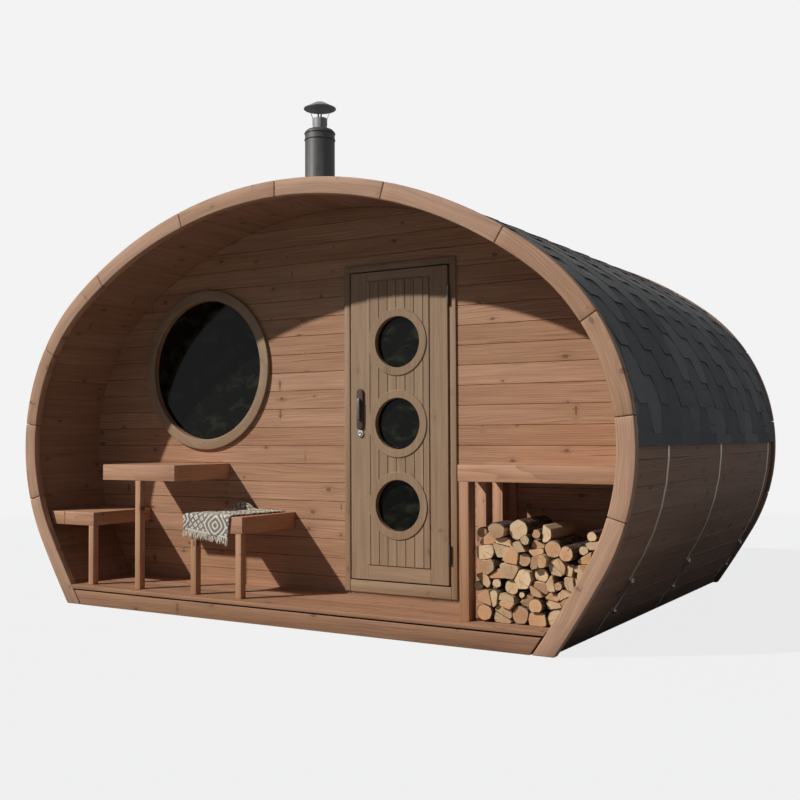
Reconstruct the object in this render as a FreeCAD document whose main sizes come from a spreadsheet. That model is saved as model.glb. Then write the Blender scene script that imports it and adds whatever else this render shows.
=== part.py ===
import FreeCAD, Part
import math
import os
import re
import sys

import Sketcher
from FreeCAD import Placement, Rotation, Vector

# Outdoor sauna cabin: a wide oval barrel of staves with an open porch in front.
# Sizes are in millimetres and degrees. +Z is up, +X is to the right as seen from the porch, and +Y runs
# from the porch into the cabin. The origin is the bottom centre of the whole building.

DRIVING_SIZES = (
    # The oval: three arcs a side, tangent to each other, open and level at the ground
    ("roof_crown", 2420, "height of the oval's top above the ground"),
    ("roof_radius", 2560, "radius of the shallow roof arc"),
    ("roof_half_angle", 37.5, "angle from the crown at which the roof arc ends"),
    ("side_radius", 1165, "radius of the tight arc of each side"),
    ("side_end_angle", 120.4, "angle from the crown at which the side arc ends"),
    ("skirt_radius", 6600, "radius of the nearly straight arc down to the ground"),
    ("barrel_length", 2900, "front face to rear face"),
    # The sawn ring at each end, in segments that meet on open joints
    ("ring_width", 92, "ring size across the oval"),
    ("ring_depth", 45, "ring thickness along the barrel"),
    ("ring_joint_gap", 3, "open joint between two segments"),
    ("joint_angle_crown", 16, "first joint each side of the crown, from the vertical"),
    ("joint_angle_roof", 32.5, "second joint"),
    ("joint_angle_shoulder", 58, "third joint"),
    ("joint_angle_side", 83, "fourth joint"),
    ("joint_angle_skirt", 107, "fifth joint"),
    # The shell of staves and its shingles
    ("stave_setback", 20, "how far the staves' outer faces lie inside the ring"),
    ("stave_thickness", 40, "stave wall"),
    ("stave_count", 30, "number of staves from the crown to the ground on one side"),
    ("roof_stave_count", 11, "number of staves of each side that make the roof"),
    ("flank_stave_count", 11, "number of staves of each side below those, the rest reach the ground"),
    ("stave_gap", 0.6, "working joint between two staves"),
    ("shingle_thickness", 9, "layer of shingles on the staves"),
    ("shingle_hem", 970, "height at which the shingles end"),
    # Floor
    ("bearer_height", 93, "floor bearers on the ground"),
    ("bearer_width", 70, "width of one bearer"),
    ("bearer_count", 5, "number of bearers across the floor"),
    ("bearer_spread", 2840, "first bearer's middle to the last one's"),
    ("deck_thickness", 22, "porch and cabin floor boards"),
    ("beam_height", 84, "board that closes the floor at each end"),
    ("beam_end_gap", 8, "gap between that board and the ring"),
    ("fit_gap", 2, "clearance between a wall or floor and the staves"),
    ("seat_gap", 0.3, "clearance between two seated pieces"),
    ("drill_past", 10, "how far a hole's tool runs past the faces it opens"),
    # Walls
    ("porch_depth", 555, "ring face to front wall"),
    ("wall_thickness", 44, "front and rear walls"),
    ("rear_wall_inset", 60, "rear face to rear wall"),
    # Door and its frame
    ("door_frame_left", 90, "left side of the frame, from the middle of the cabin"),
    ("door_frame_width", 736, "frame over all"),
    ("door_frame_top", 2006, "top of the frame above the ground"),
    ("casing_width", 38, "face width of the frame"),
    ("casing_proud", 18, "how far the frame stands out of the wall"),
    ("casing_foot", 15, "gap from the floor to the casing's proud part"),
    ("threshold_height", 82, "threshold above the floor"),
    ("stop_width", 16, "door stop behind the leaf, past the casing"),
    ("stop_gap", 1, "leaf to stop"),
    ("latch_gap", 12, "leaf to frame on the handle side"),
    ("hinge_gap", 10, "leaf to frame on the hinge side"),
    ("door_top_gap", 8, "leaf to frame at the top"),
    ("door_foot_gap", 7, "leaf to threshold"),
    ("door_thickness", 44, "leaf"),
    ("stile_width", 115, "upright members of the leaf"),
    ("top_rail", 55, "top member of the leaf"),
    ("bottom_rail", 86, "bottom member of the leaf"),
    ("panel_thickness", 41, "boarded panel of the leaf, level with its back"),
    ("porthole_radius", 145, "clear opening of a porthole"),
    ("porthole_ring_radius", 190, "outer radius of its trim ring"),
    ("porthole_ring_depth", 15, "thickness of a trim ring"),
    ("porthole_count", 3, "number of portholes, one above another"),
    ("porthole_pitch", 461, "from one porthole to the next"),
    ("porthole_middle", 1090, "height of the middle porthole"),
    ("glass_thickness", 6, "all panes"),
    ("handle_height", 1175, "centre of the door handle"),
    ("handle_length", 236, "handle backplate over its round ends"),
    ("handle_width", 44, "handle backplate"),
    ("handle_plate", 14, "thickness of the backplate"),
    ("handle_across", 68, "leaf edge to the handle's centre line"),
    ("grip_length", 120, "pull bar"),
    ("grip_width", 16, "pull bar"),
    ("grip_reach", 34, "pull bar out from the backplate"),
    ("grip_end", 18, "post at each end of the pull bar"),
    ("lock_drop", 140, "handle centre down to the lock"),
    ("lock_radius", 21, "round lock plate"),
    ("lock_depth", 8, "round lock plate"),
    ("hinge_low", 375, "height of the lower hinge"),
    ("hinge_high", 1795, "height of the upper hinge"),
    ("hinge_length", 100, "hinge over all"),
    ("knuckle_radius", 7, "hinge barrel"),
    ("hinge_pin_radius", 3, "pin inside the barrel"),
    ("hinge_pin_gap", 0.08, "running clearance round the pin"),
    ("hinge_pin_short", 5, "pin's end below the barrel's top"),
    ("hinge_cap", 3, "closed end of the upper barrel"),
    ("hinge_flap", 2, "thickness of a hinge flap"),
    ("hinge_flap_reach", 30, "flap from the barrel's centre into the gap"),
    # Windows
    ("window_across", 970, "round window, left of the middle"),
    ("window_crown_gap", 470, "window's trim ring to the oval's top"),
    ("window_table_gap", 85, "window's trim ring to the table top"),
    ("window_trim", 65, "face width of the trim ring"),
    ("window_trim_depth", 22, "trim ring out of the wall"),
    ("rear_window_across", 870, "rear window, left of the middle as seen from the front"),
    ("rear_window_height", 1600, "centre of the rear window"),
    ("rear_window_width", 110, "clear width"),
    ("rear_window_tall", 380, "clear height"),
    ("rear_window_trim", 45, "trim width"),
    ("rear_trim_depth", 15, "trim out of the wall on either side"),
    # Porch furniture
    ("board_thickness", 28, "seat, table and shelf boards"),
    ("fascia_thickness", 34, "edge boards round a seat or table"),
    ("leg_width", 42, "square legs"),
    ("leg_inset", 8, "outer leg to the end of its seat"),
    ("front_setback", 62, "ring face to the furniture's front edge"),
    ("bench_right", 1455, "bench's free side, left of the middle"),
    ("bench_height", 557, "bench top"),
    ("bench_fascia", 80, "bench edge boards"),
    ("table_left", 1375, "left edge of the table"),
    ("table_right", 785, "right edge of the table"),
    ("table_height", 855, "table top"),
    ("table_fascia", 94, "table edge boards"),
    ("stool_left", 700, "left edge of the stool"),
    ("stool_right", 275, "right edge of the stool"),
    ("stool_height", 570, "stool top"),
    ("stool_fascia", 95, "stool edge boards"),
    # Throw: a blanket laid over the stool and down its front
    ("throw_thickness", 7, "blanket's cloth"),
    ("throw_left", 708, "left edge of the blanket, left of the middle"),
    ("throw_right", 312, "right edge of the blanket on the seat"),
    ("throw_fall_right", 385, "right edge of the part that hangs"),
    ("throw_drop", 150, "blanket's fall over the stool's front, fringe included"),
    ("throw_rear", 22, "blanket to the wall"),
    ("throw_fold_width", 165, "bunched fold at the wall, along the seat"),
    ("throw_fold_depth", 130, "bunched fold out from its rear edge"),
    ("throw_fold_rise", 46, "top of the bunched fold above the seat"),
    # Wood store
    ("store_left", 1088, "shelf's free side, right of the middle"),
    ("store_height", 878, "shelf top"),
    ("store_fascia", 83, "shelf edge boards"),
    ("store_side_width", 64, "bearer over the slats"),
    ("slat_left", 1095, "free side of the slats"),
    ("slat_width", 53, "slats across the porch"),
    ("slat_depth", 75, "slats along the porch"),
    ("slat_count", 3, "number of free-standing slats"),
    ("slat_wall_gap", 8.7, "last slat to the batten on the wall"),
    ("batten_left", 1130, "batten on the wall behind the slats"),
    ("batten_depth", 25, "batten out of the wall"),
    ("log_length", 330, "split firewood"),
    ("log_reach", 66, "largest half width of a log"),
    ("log_setback", 78, "ring face to the foremost log end"),
    ("log_stagger", 34, "how far log ends vary"),
    # Steel straps round the shell and their tensioners, low on each side
    ("strap_width", 25, "steel strap"),
    ("strap_thickness", 1.5, "steel strap"),
    ("strap_first", 550, "front ring's face to the first strap"),
    ("strap_second_share", 0.45, "second strap's place between the first and the third"),
    ("strap_third", 150, "rear ring's face to the third strap"),
    ("strap_foot", 12, "lower end of a strap above the ground"),
    ("tensioner_high", 300, "upper lug above the ground"),
    ("tensioner_low", 158, "lower lug above the ground"),
    ("lug_reach", 26, "lugs out of the staves"),
    ("lug_thickness", 9, "lugs along the strap"),
    ("rod_radius", 5, "threaded rod between two lugs"),
    ("rod_past", 22, "rod's ends past the lugs"),
    ("nut_radius", 9, "nuts outside the lugs"),
    ("nut_height", 8, "nuts outside the lugs"),
    # Chimney
    ("flue_across", 552, "chimney, left of the middle"),
    ("flue_along", 1200, "ring face to the chimney"),
    ("flue_radius", 100, "outer casing"),
    ("flue_rise", 658, "top of the outer casing above the oval's top"),
    ("flue_shoulder", 14, "bevelled edge at the casing's top"),
    ("flue_tail", 60, "casing inside the cabin, below the staves"),
    ("flue_inner_radius", 48, "inner pipe"),
    ("flue_inner_wall", 2, "inner pipe"),
    ("flue_inner_rise", 80, "inner pipe out of the casing"),
    ("flue_inner_length", 300, "inner pipe"),
    ("flue_roof_gap", 6, "clearance of the casing in the roof"),
    ("cap_radius", 108, "rain cap"),
    ("cap_gap", 64, "open height from the inner pipe to the rain cap"),
    ("cap_rim", 5, "upright edge of the rain cap"),
    ("cap_crown", 32, "radius of the rain cap's flat top"),
    ("cap_rise", 45, "height of the rain cap"),
    ("strut_count", 4, "number of struts that carry the cap"),
    ("strut_width", 10, "width of a strut"),
    ("strut_thickness", 3, "thickness of a strut"),
    ("strut_foot", 45, "strut along the inner pipe"),
    ("strut_flare", 26, "strut out from the pipe at the cap"),
    ("flashing_radius", 240, "foot of the flashing cone, below the roof's surface"),
    ("flashing_height", 110, "flashing above the roof"),
    ("flashing_depth", 150, "flashing cone below the roof's surface, cut away there"),
    ("flashing_lap", 4, "flashing's bore inside the casing's outer face"),
)

# Firewood: centres of the log ends as they are stacked, to the right of the slats and above the deck
LOG_CENTRES = (
    (67, 410), (132, 450), (152, 365), (77, 335), (87, 270), (237, 440), (272, 385), (362, 430),
    (212, 320), (282, 315), (332, 365), (352, 305), (422, 370), (202, 255), (127, 215), (47, 185),
    (92, 120), (197, 175), (267, 215), (367, 245), (442, 285), (497, 335), (572, 345), (627, 415),
    (522, 270), (352, 175), (432, 205), (517, 210), (182, 110), (272, 125), (67, 50), (162, 45),
    (247, 55), (337, 100), (417, 120), (492, 140), (342, 35), (432, 50), (572, 265), (642, 335),
)

doc = FreeCAD.newDocument("SaunaCabin")
sheet = doc.addObject("Spreadsheet::Sheet", "Sizes")
sheet.set("A1", "name")
sheet.set("B1", "value")
sheet.set("C1", "meaning")
for row, (alias, value, meaning) in enumerate(DRIVING_SIZES, start=2):
    sheet.set("A%d" % row, alias)
    sheet.set("B%d" % row, str(value))
    sheet.set("C%d" % row, meaning)
    sheet.setAlias("B%d" % row, alias)
doc.recompute()

ALIASES = {alias for alias, _value, _meaning in DRIVING_SIZES}
parts_to_export = []


def size(alias):
    """Value of one driving size, read from the sheet."""
    return float(sheet.get(alias))


def bind(item, prop, formula):
    """Bind a property to a formula of driving sizes, written with their plain names."""
    words = re.split(r"([a-z_]+)", formula)
    item.setExpression(prop, "".join("Sizes." + word if word in ALIASES else word for word in words))


def place(item, x, y, z):
    """Bind an object's place to three formulas."""
    bind(item, "Placement.Base.x", x)
    bind(item, "Placement.Base.y", y)
    bind(item, "Placement.Base.z", z)


def keep(item, label):
    """Name a finished sub-part and put it on the list of nodes."""
    item.Label = label
    parts_to_export.append(item)
    return item


def box(name, x, y, z, length, width, height):
    """A board or block whose corner and sizes are formulas of the driving sizes."""
    item = doc.addObject("Part::Box", name)
    bind(item, "Length", length)
    bind(item, "Width", width)
    bind(item, "Height", height)
    place(item, x, y, z)
    return item


def disc(name, x, y, z, radius, depth):
    """A round piece lying along the barrel: its front face at y, its thickness towards the cabin."""
    item = doc.addObject("Part::Cylinder", name)
    item.Placement = Placement(Vector(0, 0, 0), Rotation(Vector(1, 0, 0), -90))
    bind(item, "Radius", radius)
    bind(item, "Height", depth)
    place(item, x, y, z)
    return item


def post(name, x, y, z, radius, height):
    """An upright round piece on its own axis."""
    item = doc.addObject("Part::Cylinder", name)
    bind(item, "Radius", radius)
    bind(item, "Height", height)
    place(item, x, y, z)
    return item


def cut(name, base, tool):
    """Base with the tool taken away."""
    item = doc.addObject("Part::Cut", name)
    item.Base = base
    item.Tool = tool
    return item


def common(name, base, tool):
    """What two pieces share."""
    item = doc.addObject("Part::Common", name)
    item.Base = base
    item.Tool = tool
    return item


def fuse(name, pieces):
    """Several pieces made one solid."""
    item = doc.addObject("Part::MultiFuse", name)
    item.Shapes = pieces
    item.Refine = True
    return item


def group(name, pieces):
    """Like pieces that share a node and don't touch."""
    item = doc.addObject("Part::Compound", name)
    item.Links = pieces
    return item


def solid(name, shape):
    """A sub-part whose shape follows the oval and is worked out here from the sheet."""
    item = doc.addObject("Part::Feature", name)
    item.Shape = shape
    return item


def turned(name, x, y, z, corners, upright=True):
    """A body turned about its own axis from corners (radius, run along the axis), all of them formulas."""
    body = doc.addObject("PartDesign::Body", name)
    if not upright:
        body.Placement = Placement(Vector(0, 0, 0), Rotation(Vector(1, 0, 0), -90))
    place(body, x, y, z)
    plane = [feature for feature in body.Origin.OriginFeatures if feature.Role == "XZ_Plane"][0]
    profile = body.newObject("Sketcher::SketchObject", name + "Profile")
    profile.AttachmentSupport = [(plane, "")]
    profile.MapMode = "FlatFace"
    count = len(corners)
    start = [Vector(2 + math.cos(2 * math.pi * i / count), 2 + math.sin(2 * math.pi * i / count), 0)
             for i in range(count)]
    for i in range(count):
        profile.addGeometry(Part.LineSegment(start[i], start[(i + 1) % count]))
    for i in range(count):
        profile.addConstraint(Sketcher.Constraint("Coincident", i, 2, (i + 1) % count, 1))
    for i, (radius, run) in enumerate(corners):
        for kind, formula, axis in (("DistanceX", radius, -2), ("DistanceY", run, -1)):
            if formula == "0":
                profile.addConstraint(Sketcher.Constraint("PointOnObject", i, 1, axis))
            else:
                index = profile.addConstraint(Sketcher.Constraint(kind, -1, 1, i, 1, 1.0))
                profile.renameConstraint(index, "%s%d" % (kind, i))
                bind(profile, "Constraints.%s%d" % (kind, i), formula)
    turn = body.newObject("PartDesign::Revolution", name + "Turn")
    turn.Profile = profile
    turn.ReferenceAxis = (profile, ["V_Axis"])
    turn.Angle = 360
    return body


# The oval. A place on it is the angle of its outward normal from the vertical, positive to the right, and an
# offset inwards, because an offset moves the three arcs' radii and not their centres.
CROWN = size("roof_crown")
ROOF_R = size("roof_radius")
ROOF_A = size("roof_half_angle")
SIDE_R = size("side_radius")
SIDE_A = size("side_end_angle")
SKIRT_R = size("skirt_radius")
FRONT = -size("barrel_length") / 2
REAR = size("barrel_length") / 2
STEEPEST = 150.0
HALVINGS = 60


def heading(angle):
    """Unit vector of a normal in the plane of the ring."""
    return Vector(math.sin(math.radians(angle)), 0, math.cos(math.radians(angle)))


ROOF_C = Vector(0, 0, CROWN - ROOF_R)
SIDE_C = ROOF_C + heading(ROOF_A) * (ROOF_R - SIDE_R)
SKIRT_C = SIDE_C + heading(SIDE_A) * (SIDE_R - SKIRT_R)


def oval_point(angle, offset):
    """Point of the oval at a normal's angle, moved inwards by the offset."""
    turn = abs(angle)
    if turn <= ROOF_A:
        centre, radius = ROOF_C, ROOF_R
    elif turn <= SIDE_A:
        centre, radius = SIDE_C, SIDE_R
    else:
        centre, radius = SKIRT_C, SKIRT_R
    point = centre + heading(turn) * (radius - offset)
    return Vector(math.copysign(point.x, angle), 0, point.z)


def angle_at_height(height, offset):
    """Normal's angle where the right side of the oval crosses a height."""
    low, high = 0.0, STEEPEST
    for _step in range(HALVINGS):
        middle = (low + high) / 2
        if oval_point(middle, offset).z > height:
            low = middle
        else:
            high = middle
    return (low + high) / 2


def half_width(height, offset):
    """Half width of the oval at a height."""
    return oval_point(angle_at_height(height, offset), offset).x


def oval_curve(start, end, offset):
    """Arcs of the oval from one angle to another, split where the radius changes."""
    breaks = [a for a in (-SIDE_A, -ROOF_A, ROOF_A, SIDE_A) if min(start, end) < a < max(start, end)]
    stops = [start] + sorted(breaks, reverse=start > end) + [end]
    arcs = []
    for a, b in zip(stops, stops[1:]):
        arcs.append(Part.Arc(oval_point(a, offset), oval_point((a + b) / 2, offset), oval_point(b, offset)))
    return [arc.toShape() for arc in arcs]


def prism(points, y, depth):
    """Straight-sided piece along the barrel from its corners (x, z)."""
    corners = [Vector(x, y, z) for x, z in points]
    face = Part.Face(Part.makePolygon(corners + corners[:1]))
    return face.extrude(Vector(0, depth, 0))


def mirrored(shapes):
    """The same pieces on the left side of the cabin."""
    return [shape.mirror(Vector(0, 0, 0), Vector(1, 0, 0)) for shape in shapes]


# Staves: flat planks with bevelled edges, each with its own place on the oval
RING_W = size("ring_width")
RING_D = size("ring_depth")
STAVE_OUT = size("stave_setback")
STAVE_IN = STAVE_OUT + size("stave_thickness")
STAVES = int(size("stave_count"))
ROOF_ARC = math.radians(ROOF_A) * (ROOF_R - STAVE_OUT)
SIDE_ARC = math.radians(SIDE_A - ROOF_A) * (SIDE_R - STAVE_OUT)
STAVE_FOOT = angle_at_height(0, STAVE_OUT)
SKIRT_ARC = math.radians(STAVE_FOOT - SIDE_A) * (SKIRT_R - STAVE_OUT)
STAVE_PITCH = (ROOF_ARC + SIDE_ARC + SKIRT_ARC) / STAVES
STAVE_FRONT = FRONT + RING_D
STAVE_LENGTH = size("barrel_length") - 2 * RING_D
FLUE_X = -size("flue_across")
FLUE_Y = FRONT + size("flue_along")
FLUE_HOLE = size("flue_radius") + size("flue_roof_gap")
FLOOR = size("bearer_height") + size("deck_thickness")


def angle_along(run):
    """Normal's angle at a distance along the staves' outer face from the crown."""
    if run <= ROOF_ARC:
        return math.degrees(run / (ROOF_R - STAVE_OUT))
    if run <= ROOF_ARC + SIDE_ARC:
        return ROOF_A + math.degrees((run - ROOF_ARC) / (SIDE_R - STAVE_OUT))
    return SIDE_A + math.degrees((run - ROOF_ARC - SIDE_ARC) / (SKIRT_R - STAVE_OUT))


RIGHT_JOINTS = [angle_along(index * STAVE_PITCH) for index in range(1, STAVES)]
STAVE_JOINTS = [-angle for angle in reversed(RIGHT_JOINTS)] + [0] + RIGHT_JOINTS


def stave_line(start, end, offset):
    """Corners (x, z) between two angles of the oval, with a corner wherever two staves meet."""
    turns = [start] + [angle for angle in STAVE_JOINTS if start < angle < end] + [end]
    points = [oval_point(angle, offset) for angle in turns]
    return [(point.x, point.z) for point in points]


def skin(start, end, outer, inner, y, depth):
    """Layer on the staves between two angles and two offsets."""
    return prism(stave_line(start, end, outer) + stave_line(start, end, inner)[::-1], y, depth)


def room(offset, y, depth):
    """Solid that fills the barrel inside an offset, above the floor."""
    turn = angle_at_height(FLOOR, offset)
    return prism(stave_line(-turn, turn, offset), y, depth)


def stave(index):
    """Plank number index from the crown on the right side; the last one is cut level on the ground."""
    half_gap = size("stave_gap") / 2
    a = angle_along(index * STAVE_PITCH + half_gap)
    b = angle_along((index + 1) * STAVE_PITCH - half_gap)
    corners = [oval_point(angle, offset) for angle, offset in
               ((a, STAVE_OUT), (b, STAVE_OUT), (b, STAVE_IN), (a, STAVE_IN))]
    if index == STAVES - 1:
        corners[1] = oval_point(STAVE_FOOT, STAVE_OUT)
        corners[2] = oval_point(angle_at_height(0, STAVE_IN), STAVE_IN)
    return prism([(p.x, p.z) for p in corners], STAVE_FRONT, STAVE_LENGTH)


RIGHT_STAVES = [stave(i) for i in range(STAVES)]
LEFT_STAVES = mirrored(RIGHT_STAVES)
FLUE_DRILL = Part.makeCylinder(FLUE_HOLE, CROWN, Vector(FLUE_X, FLUE_Y, CROWN / 2))
ROOF_END = int(size("roof_stave_count"))
FLANK_END = ROOF_END + int(size("flank_stave_count"))
for side, planks in (("left", LEFT_STAVES), ("right", RIGHT_STAVES)):
    roof = planks[:ROOF_END]
    if side == "left":
        roof = [plank.cut(FLUE_DRILL) for plank in roof]
    for stretch, run in (("roof", roof), ("side", planks[ROOF_END:FLANK_END]), ("base", planks[FLANK_END:])):
        shape = Part.makeCompound([piece for plank in run for piece in plank.Solids])
        keep(solid("Staves%s%s" % (side.title(), stretch.title()), shape), "staves_%s_%s" % (side, stretch))

SEAT = size("seat_gap")
SHINGLE_OUT = STAVE_OUT - size("shingle_thickness")
HEM = angle_at_height(size("shingle_hem"), STAVE_OUT)
shingles = skin(-HEM, HEM, SHINGLE_OUT, STAVE_OUT - SEAT, STAVE_FRONT, STAVE_LENGTH).cut(FLUE_DRILL)
keep(solid("RoofShingles", shingles), "roof_shingles")

# Sawn ring at each end
RING_JOINTS = [0] + [size("joint_angle_" + joint) for joint in ("crown", "roof", "shoulder", "side", "skirt")]


def joint_turn(angle):
    """Half of an open joint's width as an angle on the oval there."""
    radius = ROOF_R if angle < ROOF_A else SIDE_R
    return math.degrees(size("ring_joint_gap") / 2 / radius)


def ring_segment(outer_ends, inner_ends, y):
    """Curved board of a ring: first and last angle of its outer and of its inner edge."""
    rim = oval_curve(outer_ends[0], outer_ends[1], 0)
    hollow = oval_curve(inner_ends[1], inner_ends[0], RING_W)
    last = Part.makeLine(oval_point(outer_ends[1], 0), oval_point(inner_ends[1], RING_W))
    first = Part.makeLine(oval_point(inner_ends[0], RING_W), oval_point(outer_ends[0], 0))
    face = Part.Face(Part.Wire(rim + [last] + hollow + [first]))
    face.translate(Vector(0, y, 0))
    return face.extrude(Vector(0, RING_D, 0))


def ring(y):
    """All sawn segments of one ring; the last of each side stands on the ground."""
    half = []
    for start, end in zip(RING_JOINTS, RING_JOINTS[1:]):
        ends = (start + joint_turn(start), end - joint_turn(end))
        half.append(ring_segment(ends, ends, y))
    first = RING_JOINTS[-1] + joint_turn(RING_JOINTS[-1])
    outer_ends = (first, angle_at_height(0, 0))
    inner_ends = (first, angle_at_height(0, RING_W))
    half.append(ring_segment(outer_ends, inner_ends, y))
    return Part.makeCompound(half + mirrored(half))


keep(solid("FrontRing", ring(FRONT)), "front_ring")
keep(solid("RearRing", ring(REAR - RING_D)), "rear_ring")

# Floor
BEARER = size("bearer_height")
BEAM = size("beam_height")
FIT = size("fit_gap")
floor_z = "bearer_height + deck_thickness"


def level_board(bottom, top, offset, y, depth):
    """Flat piece across the barrel whose ends follow the slope of the oval."""
    low = half_width(bottom, offset)
    high = half_width(top, offset)
    return prism([(-low, bottom), (low, bottom), (high, top), (-high, top)], y, depth)


beam_offset = RING_W + size("beam_end_gap")
beams = [level_board(0, BEAM, beam_offset, y, RING_D) for y in (FRONT, REAR - RING_D)]
keep(solid("EndBeams", Part.makeCompound(beams)), "end_beams")

bearers = []
for number in range(int(size("bearer_count"))):
    bearer_x = "bearer_spread * (2 * %d / (bearer_count - 1) - 1) / 2 - bearer_width / 2" % number
    bearers.append(box("Bearer%d" % number, bearer_x, "ring_depth - barrel_length / 2", "0", "bearer_width",
                       "barrel_length - 2 * ring_depth", "bearer_height"))
keep(group("FloorBearers", bearers), "floor_bearers")

WALL_Y = FRONT + size("porch_depth")
WALL_T = size("wall_thickness")
DECK_IN = STAVE_IN + FIT
deck_nose = level_board(BEARER, FLOOR, RING_W + FIT, FRONT, RING_D)
deck_body = level_board(BEARER, FLOOR, DECK_IN, FRONT + RING_D, size("porch_depth") + WALL_T - RING_D)
keep(solid("PorchDeck", deck_nose.fuse(deck_body).removeSplitter()), "porch_deck")
REAR_WALL_Y = REAR - size("rear_wall_inset") - WALL_T
cabin_start = WALL_Y + WALL_T + SEAT
cabin_floor = level_board(BEARER, FLOOR, DECK_IN, cabin_start, REAR - RING_D - cabin_start)
keep(solid("CabinFloor", cabin_floor), "cabin_floor")

# Front wall, split beside and over the door
wall_y = "porch_depth - barrel_length / 2"
door_right = "door_frame_left + door_frame_width"
far = "3 * roof_crown"
wall_blank = solid("FrontWallBlank", room(DECK_IN, WALL_Y, WALL_T))
far_front = "-" + far + " / 2"
left_room = box("RoomLeftOfDoor", "door_frame_left - seat_gap - " + far, far_front, "0", far, far, far)
right_room = box("RoomRightOfDoor", door_right + " + seat_gap", far_front, "0", far, far, far)
over_room = box("RoomOverDoor", "door_frame_left - seat_gap", far_front, "door_frame_top + seat_gap",
                "door_frame_width + 2 * seat_gap", far, far)
window_z = "(roof_crown - window_crown_gap + table_height + window_table_gap) / 2"
window_outer = "(roof_crown - window_crown_gap - table_height - window_table_gap) / 2"
window_clear = window_outer + " - window_trim"
window_drill = disc("WindowDrill", "-window_across", wall_y + " - drill_past", window_z, window_clear,
                    "wall_thickness + 2 * drill_past")
keep(cut("FrontWallLeft", common("LeftOfDoor", wall_blank, left_room), window_drill), "front_wall_left")
keep(common("FrontWallRight", wall_blank, right_room), "front_wall_right")
keep(common("FrontWallTop", wall_blank, over_room), "front_wall_top")

# Round window: a turned trim ring on the wall, and the pane in the wall's thickness
window_corners = (
    (window_clear, "0"),
    (window_outer, "0"),
    (window_outer, "window_trim_depth - seat_gap"),
    (window_clear, "window_trim_depth - seat_gap"),
)
window_trim = turned("RoundWindowFrame", "-window_across", wall_y + " - window_trim_depth", window_z,
                     window_corners, upright=False)
keep(window_trim, "round_window_frame")
pane_y = wall_y + " + (wall_thickness - glass_thickness) / 2"
window_pane = disc("RoundWindowGlass", "-window_across", pane_y, window_z, window_clear + " - seat_gap",
                   "glass_thickness")
keep(window_pane, "round_window_glass")

# Rear wall with its narrow window
rear_y = "barrel_length / 2 - rear_wall_inset - wall_thickness"


def rear_window_box(name, margin, y, depth):
    """Upright block round the rear window's clear opening, larger than it by a margin on all sides."""
    return box(name, "-rear_window_across - rear_window_width / 2 - (%s)" % margin, y,
               "rear_window_height - rear_window_tall / 2 - (%s)" % margin,
               "rear_window_width + 2 * (%s)" % margin, depth, "rear_window_tall + 2 * (%s)" % margin)


rear_blank = solid("RearWallBlank", room(DECK_IN, REAR_WALL_Y, WALL_T))
rear_hole = rear_window_box("RearWindowHole", "rear_window_trim / 2 + seat_gap", rear_y + " - drill_past",
                            "wall_thickness + 2 * drill_past")
keep(cut("RearWall", rear_blank, rear_hole), "rear_wall")
rear_trim = [
    rear_window_box("RearLiner", "rear_window_trim / 2", rear_y, "wall_thickness"),
    rear_window_box("RearTrimOuter", "rear_window_trim", rear_y + " + wall_thickness", "rear_trim_depth"),
    rear_window_box("RearTrimInner", "rear_window_trim", rear_y + " - rear_trim_depth", "rear_trim_depth"),
]
rear_light = rear_window_box("RearLight", "0", rear_y + " - rear_trim_depth - drill_past",
                             "wall_thickness + 2 * rear_trim_depth + 2 * drill_past")
keep(cut("RearWindowFrame", fuse("RearTrimBlank", rear_trim), rear_light), "rear_window_frame")
keep(rear_window_box("RearWindowGlass", "-seat_gap", rear_y + " + (wall_thickness - glass_thickness) / 2",
                     "glass_thickness"), "rear_window_glass")

# Door frame: casings and a threshold round the leaf, and a stop behind it on each side
frame_y = "porch_depth - casing_proud - barrel_length / 2"
frame_depth = "casing_proud + wall_thickness"
inner_left = "door_frame_left + casing_width"
inner_width = "door_frame_width - 2 * casing_width"
inner_right = "(%s - casing_width)" % door_right
sill_top = "(bearer_height + deck_thickness + threshold_height)"
head_low = "(door_frame_top - casing_width)"
stop_y = frame_y + " + door_thickness + stop_gap"
stop_depth = "casing_proud + wall_thickness - door_thickness - stop_gap"
jamb_height = "door_frame_top - bearer_height - deck_thickness"
foot_gap = box("CasingFootGap", "door_frame_left - drill_past", frame_y + " - drill_past", floor_z,
               "door_frame_width + 2 * drill_past", "casing_proud + drill_past", "casing_foot")
jamb_left = box("JambLeft", "door_frame_left", frame_y, floor_z, "casing_width", frame_depth, jamb_height)
jamb_right = box("JambRight", inner_right, frame_y, floor_z, "casing_width", frame_depth, jamb_height)
sill = box("Sill", inner_left + " + seat_gap", frame_y, floor_z, inner_width + " - 2 * seat_gap", frame_depth,
           "threshold_height")
head = box("Head", inner_left + " + seat_gap", frame_y, head_low, inner_width + " - 2 * seat_gap",
           frame_depth, "casing_width")
stop_z = sill_top + " + seat_gap"
stop_height = "%s - %s - 2 * seat_gap" % (head_low, sill_top)
stop_left = box("StopLeft", inner_left + " + seat_gap", stop_y, stop_z, "stop_width", stop_depth, stop_height)
stop_right = box("StopRight", inner_right + " - stop_width - seat_gap", stop_y, stop_z, "stop_width",
                 stop_depth, stop_height)
stop_x = inner_left + " + stop_width + 2 * seat_gap"
stop_across = inner_width + " - 2 * stop_width - 4 * seat_gap"
stop_low = box("StopLow", stop_x, stop_y, stop_z, stop_across, stop_depth, "stop_width")
stop_high = box("StopHigh", stop_x, stop_y, head_low + " - stop_width - seat_gap", stop_across, stop_depth,
                "stop_width")
members = [cut("Footed" + piece.Name, piece, foot_gap) for piece in (jamb_left, jamb_right, sill)]
keep(group("DoorFrame", members + [head, stop_left, stop_right, stop_low, stop_high]), "door_frame")

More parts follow.
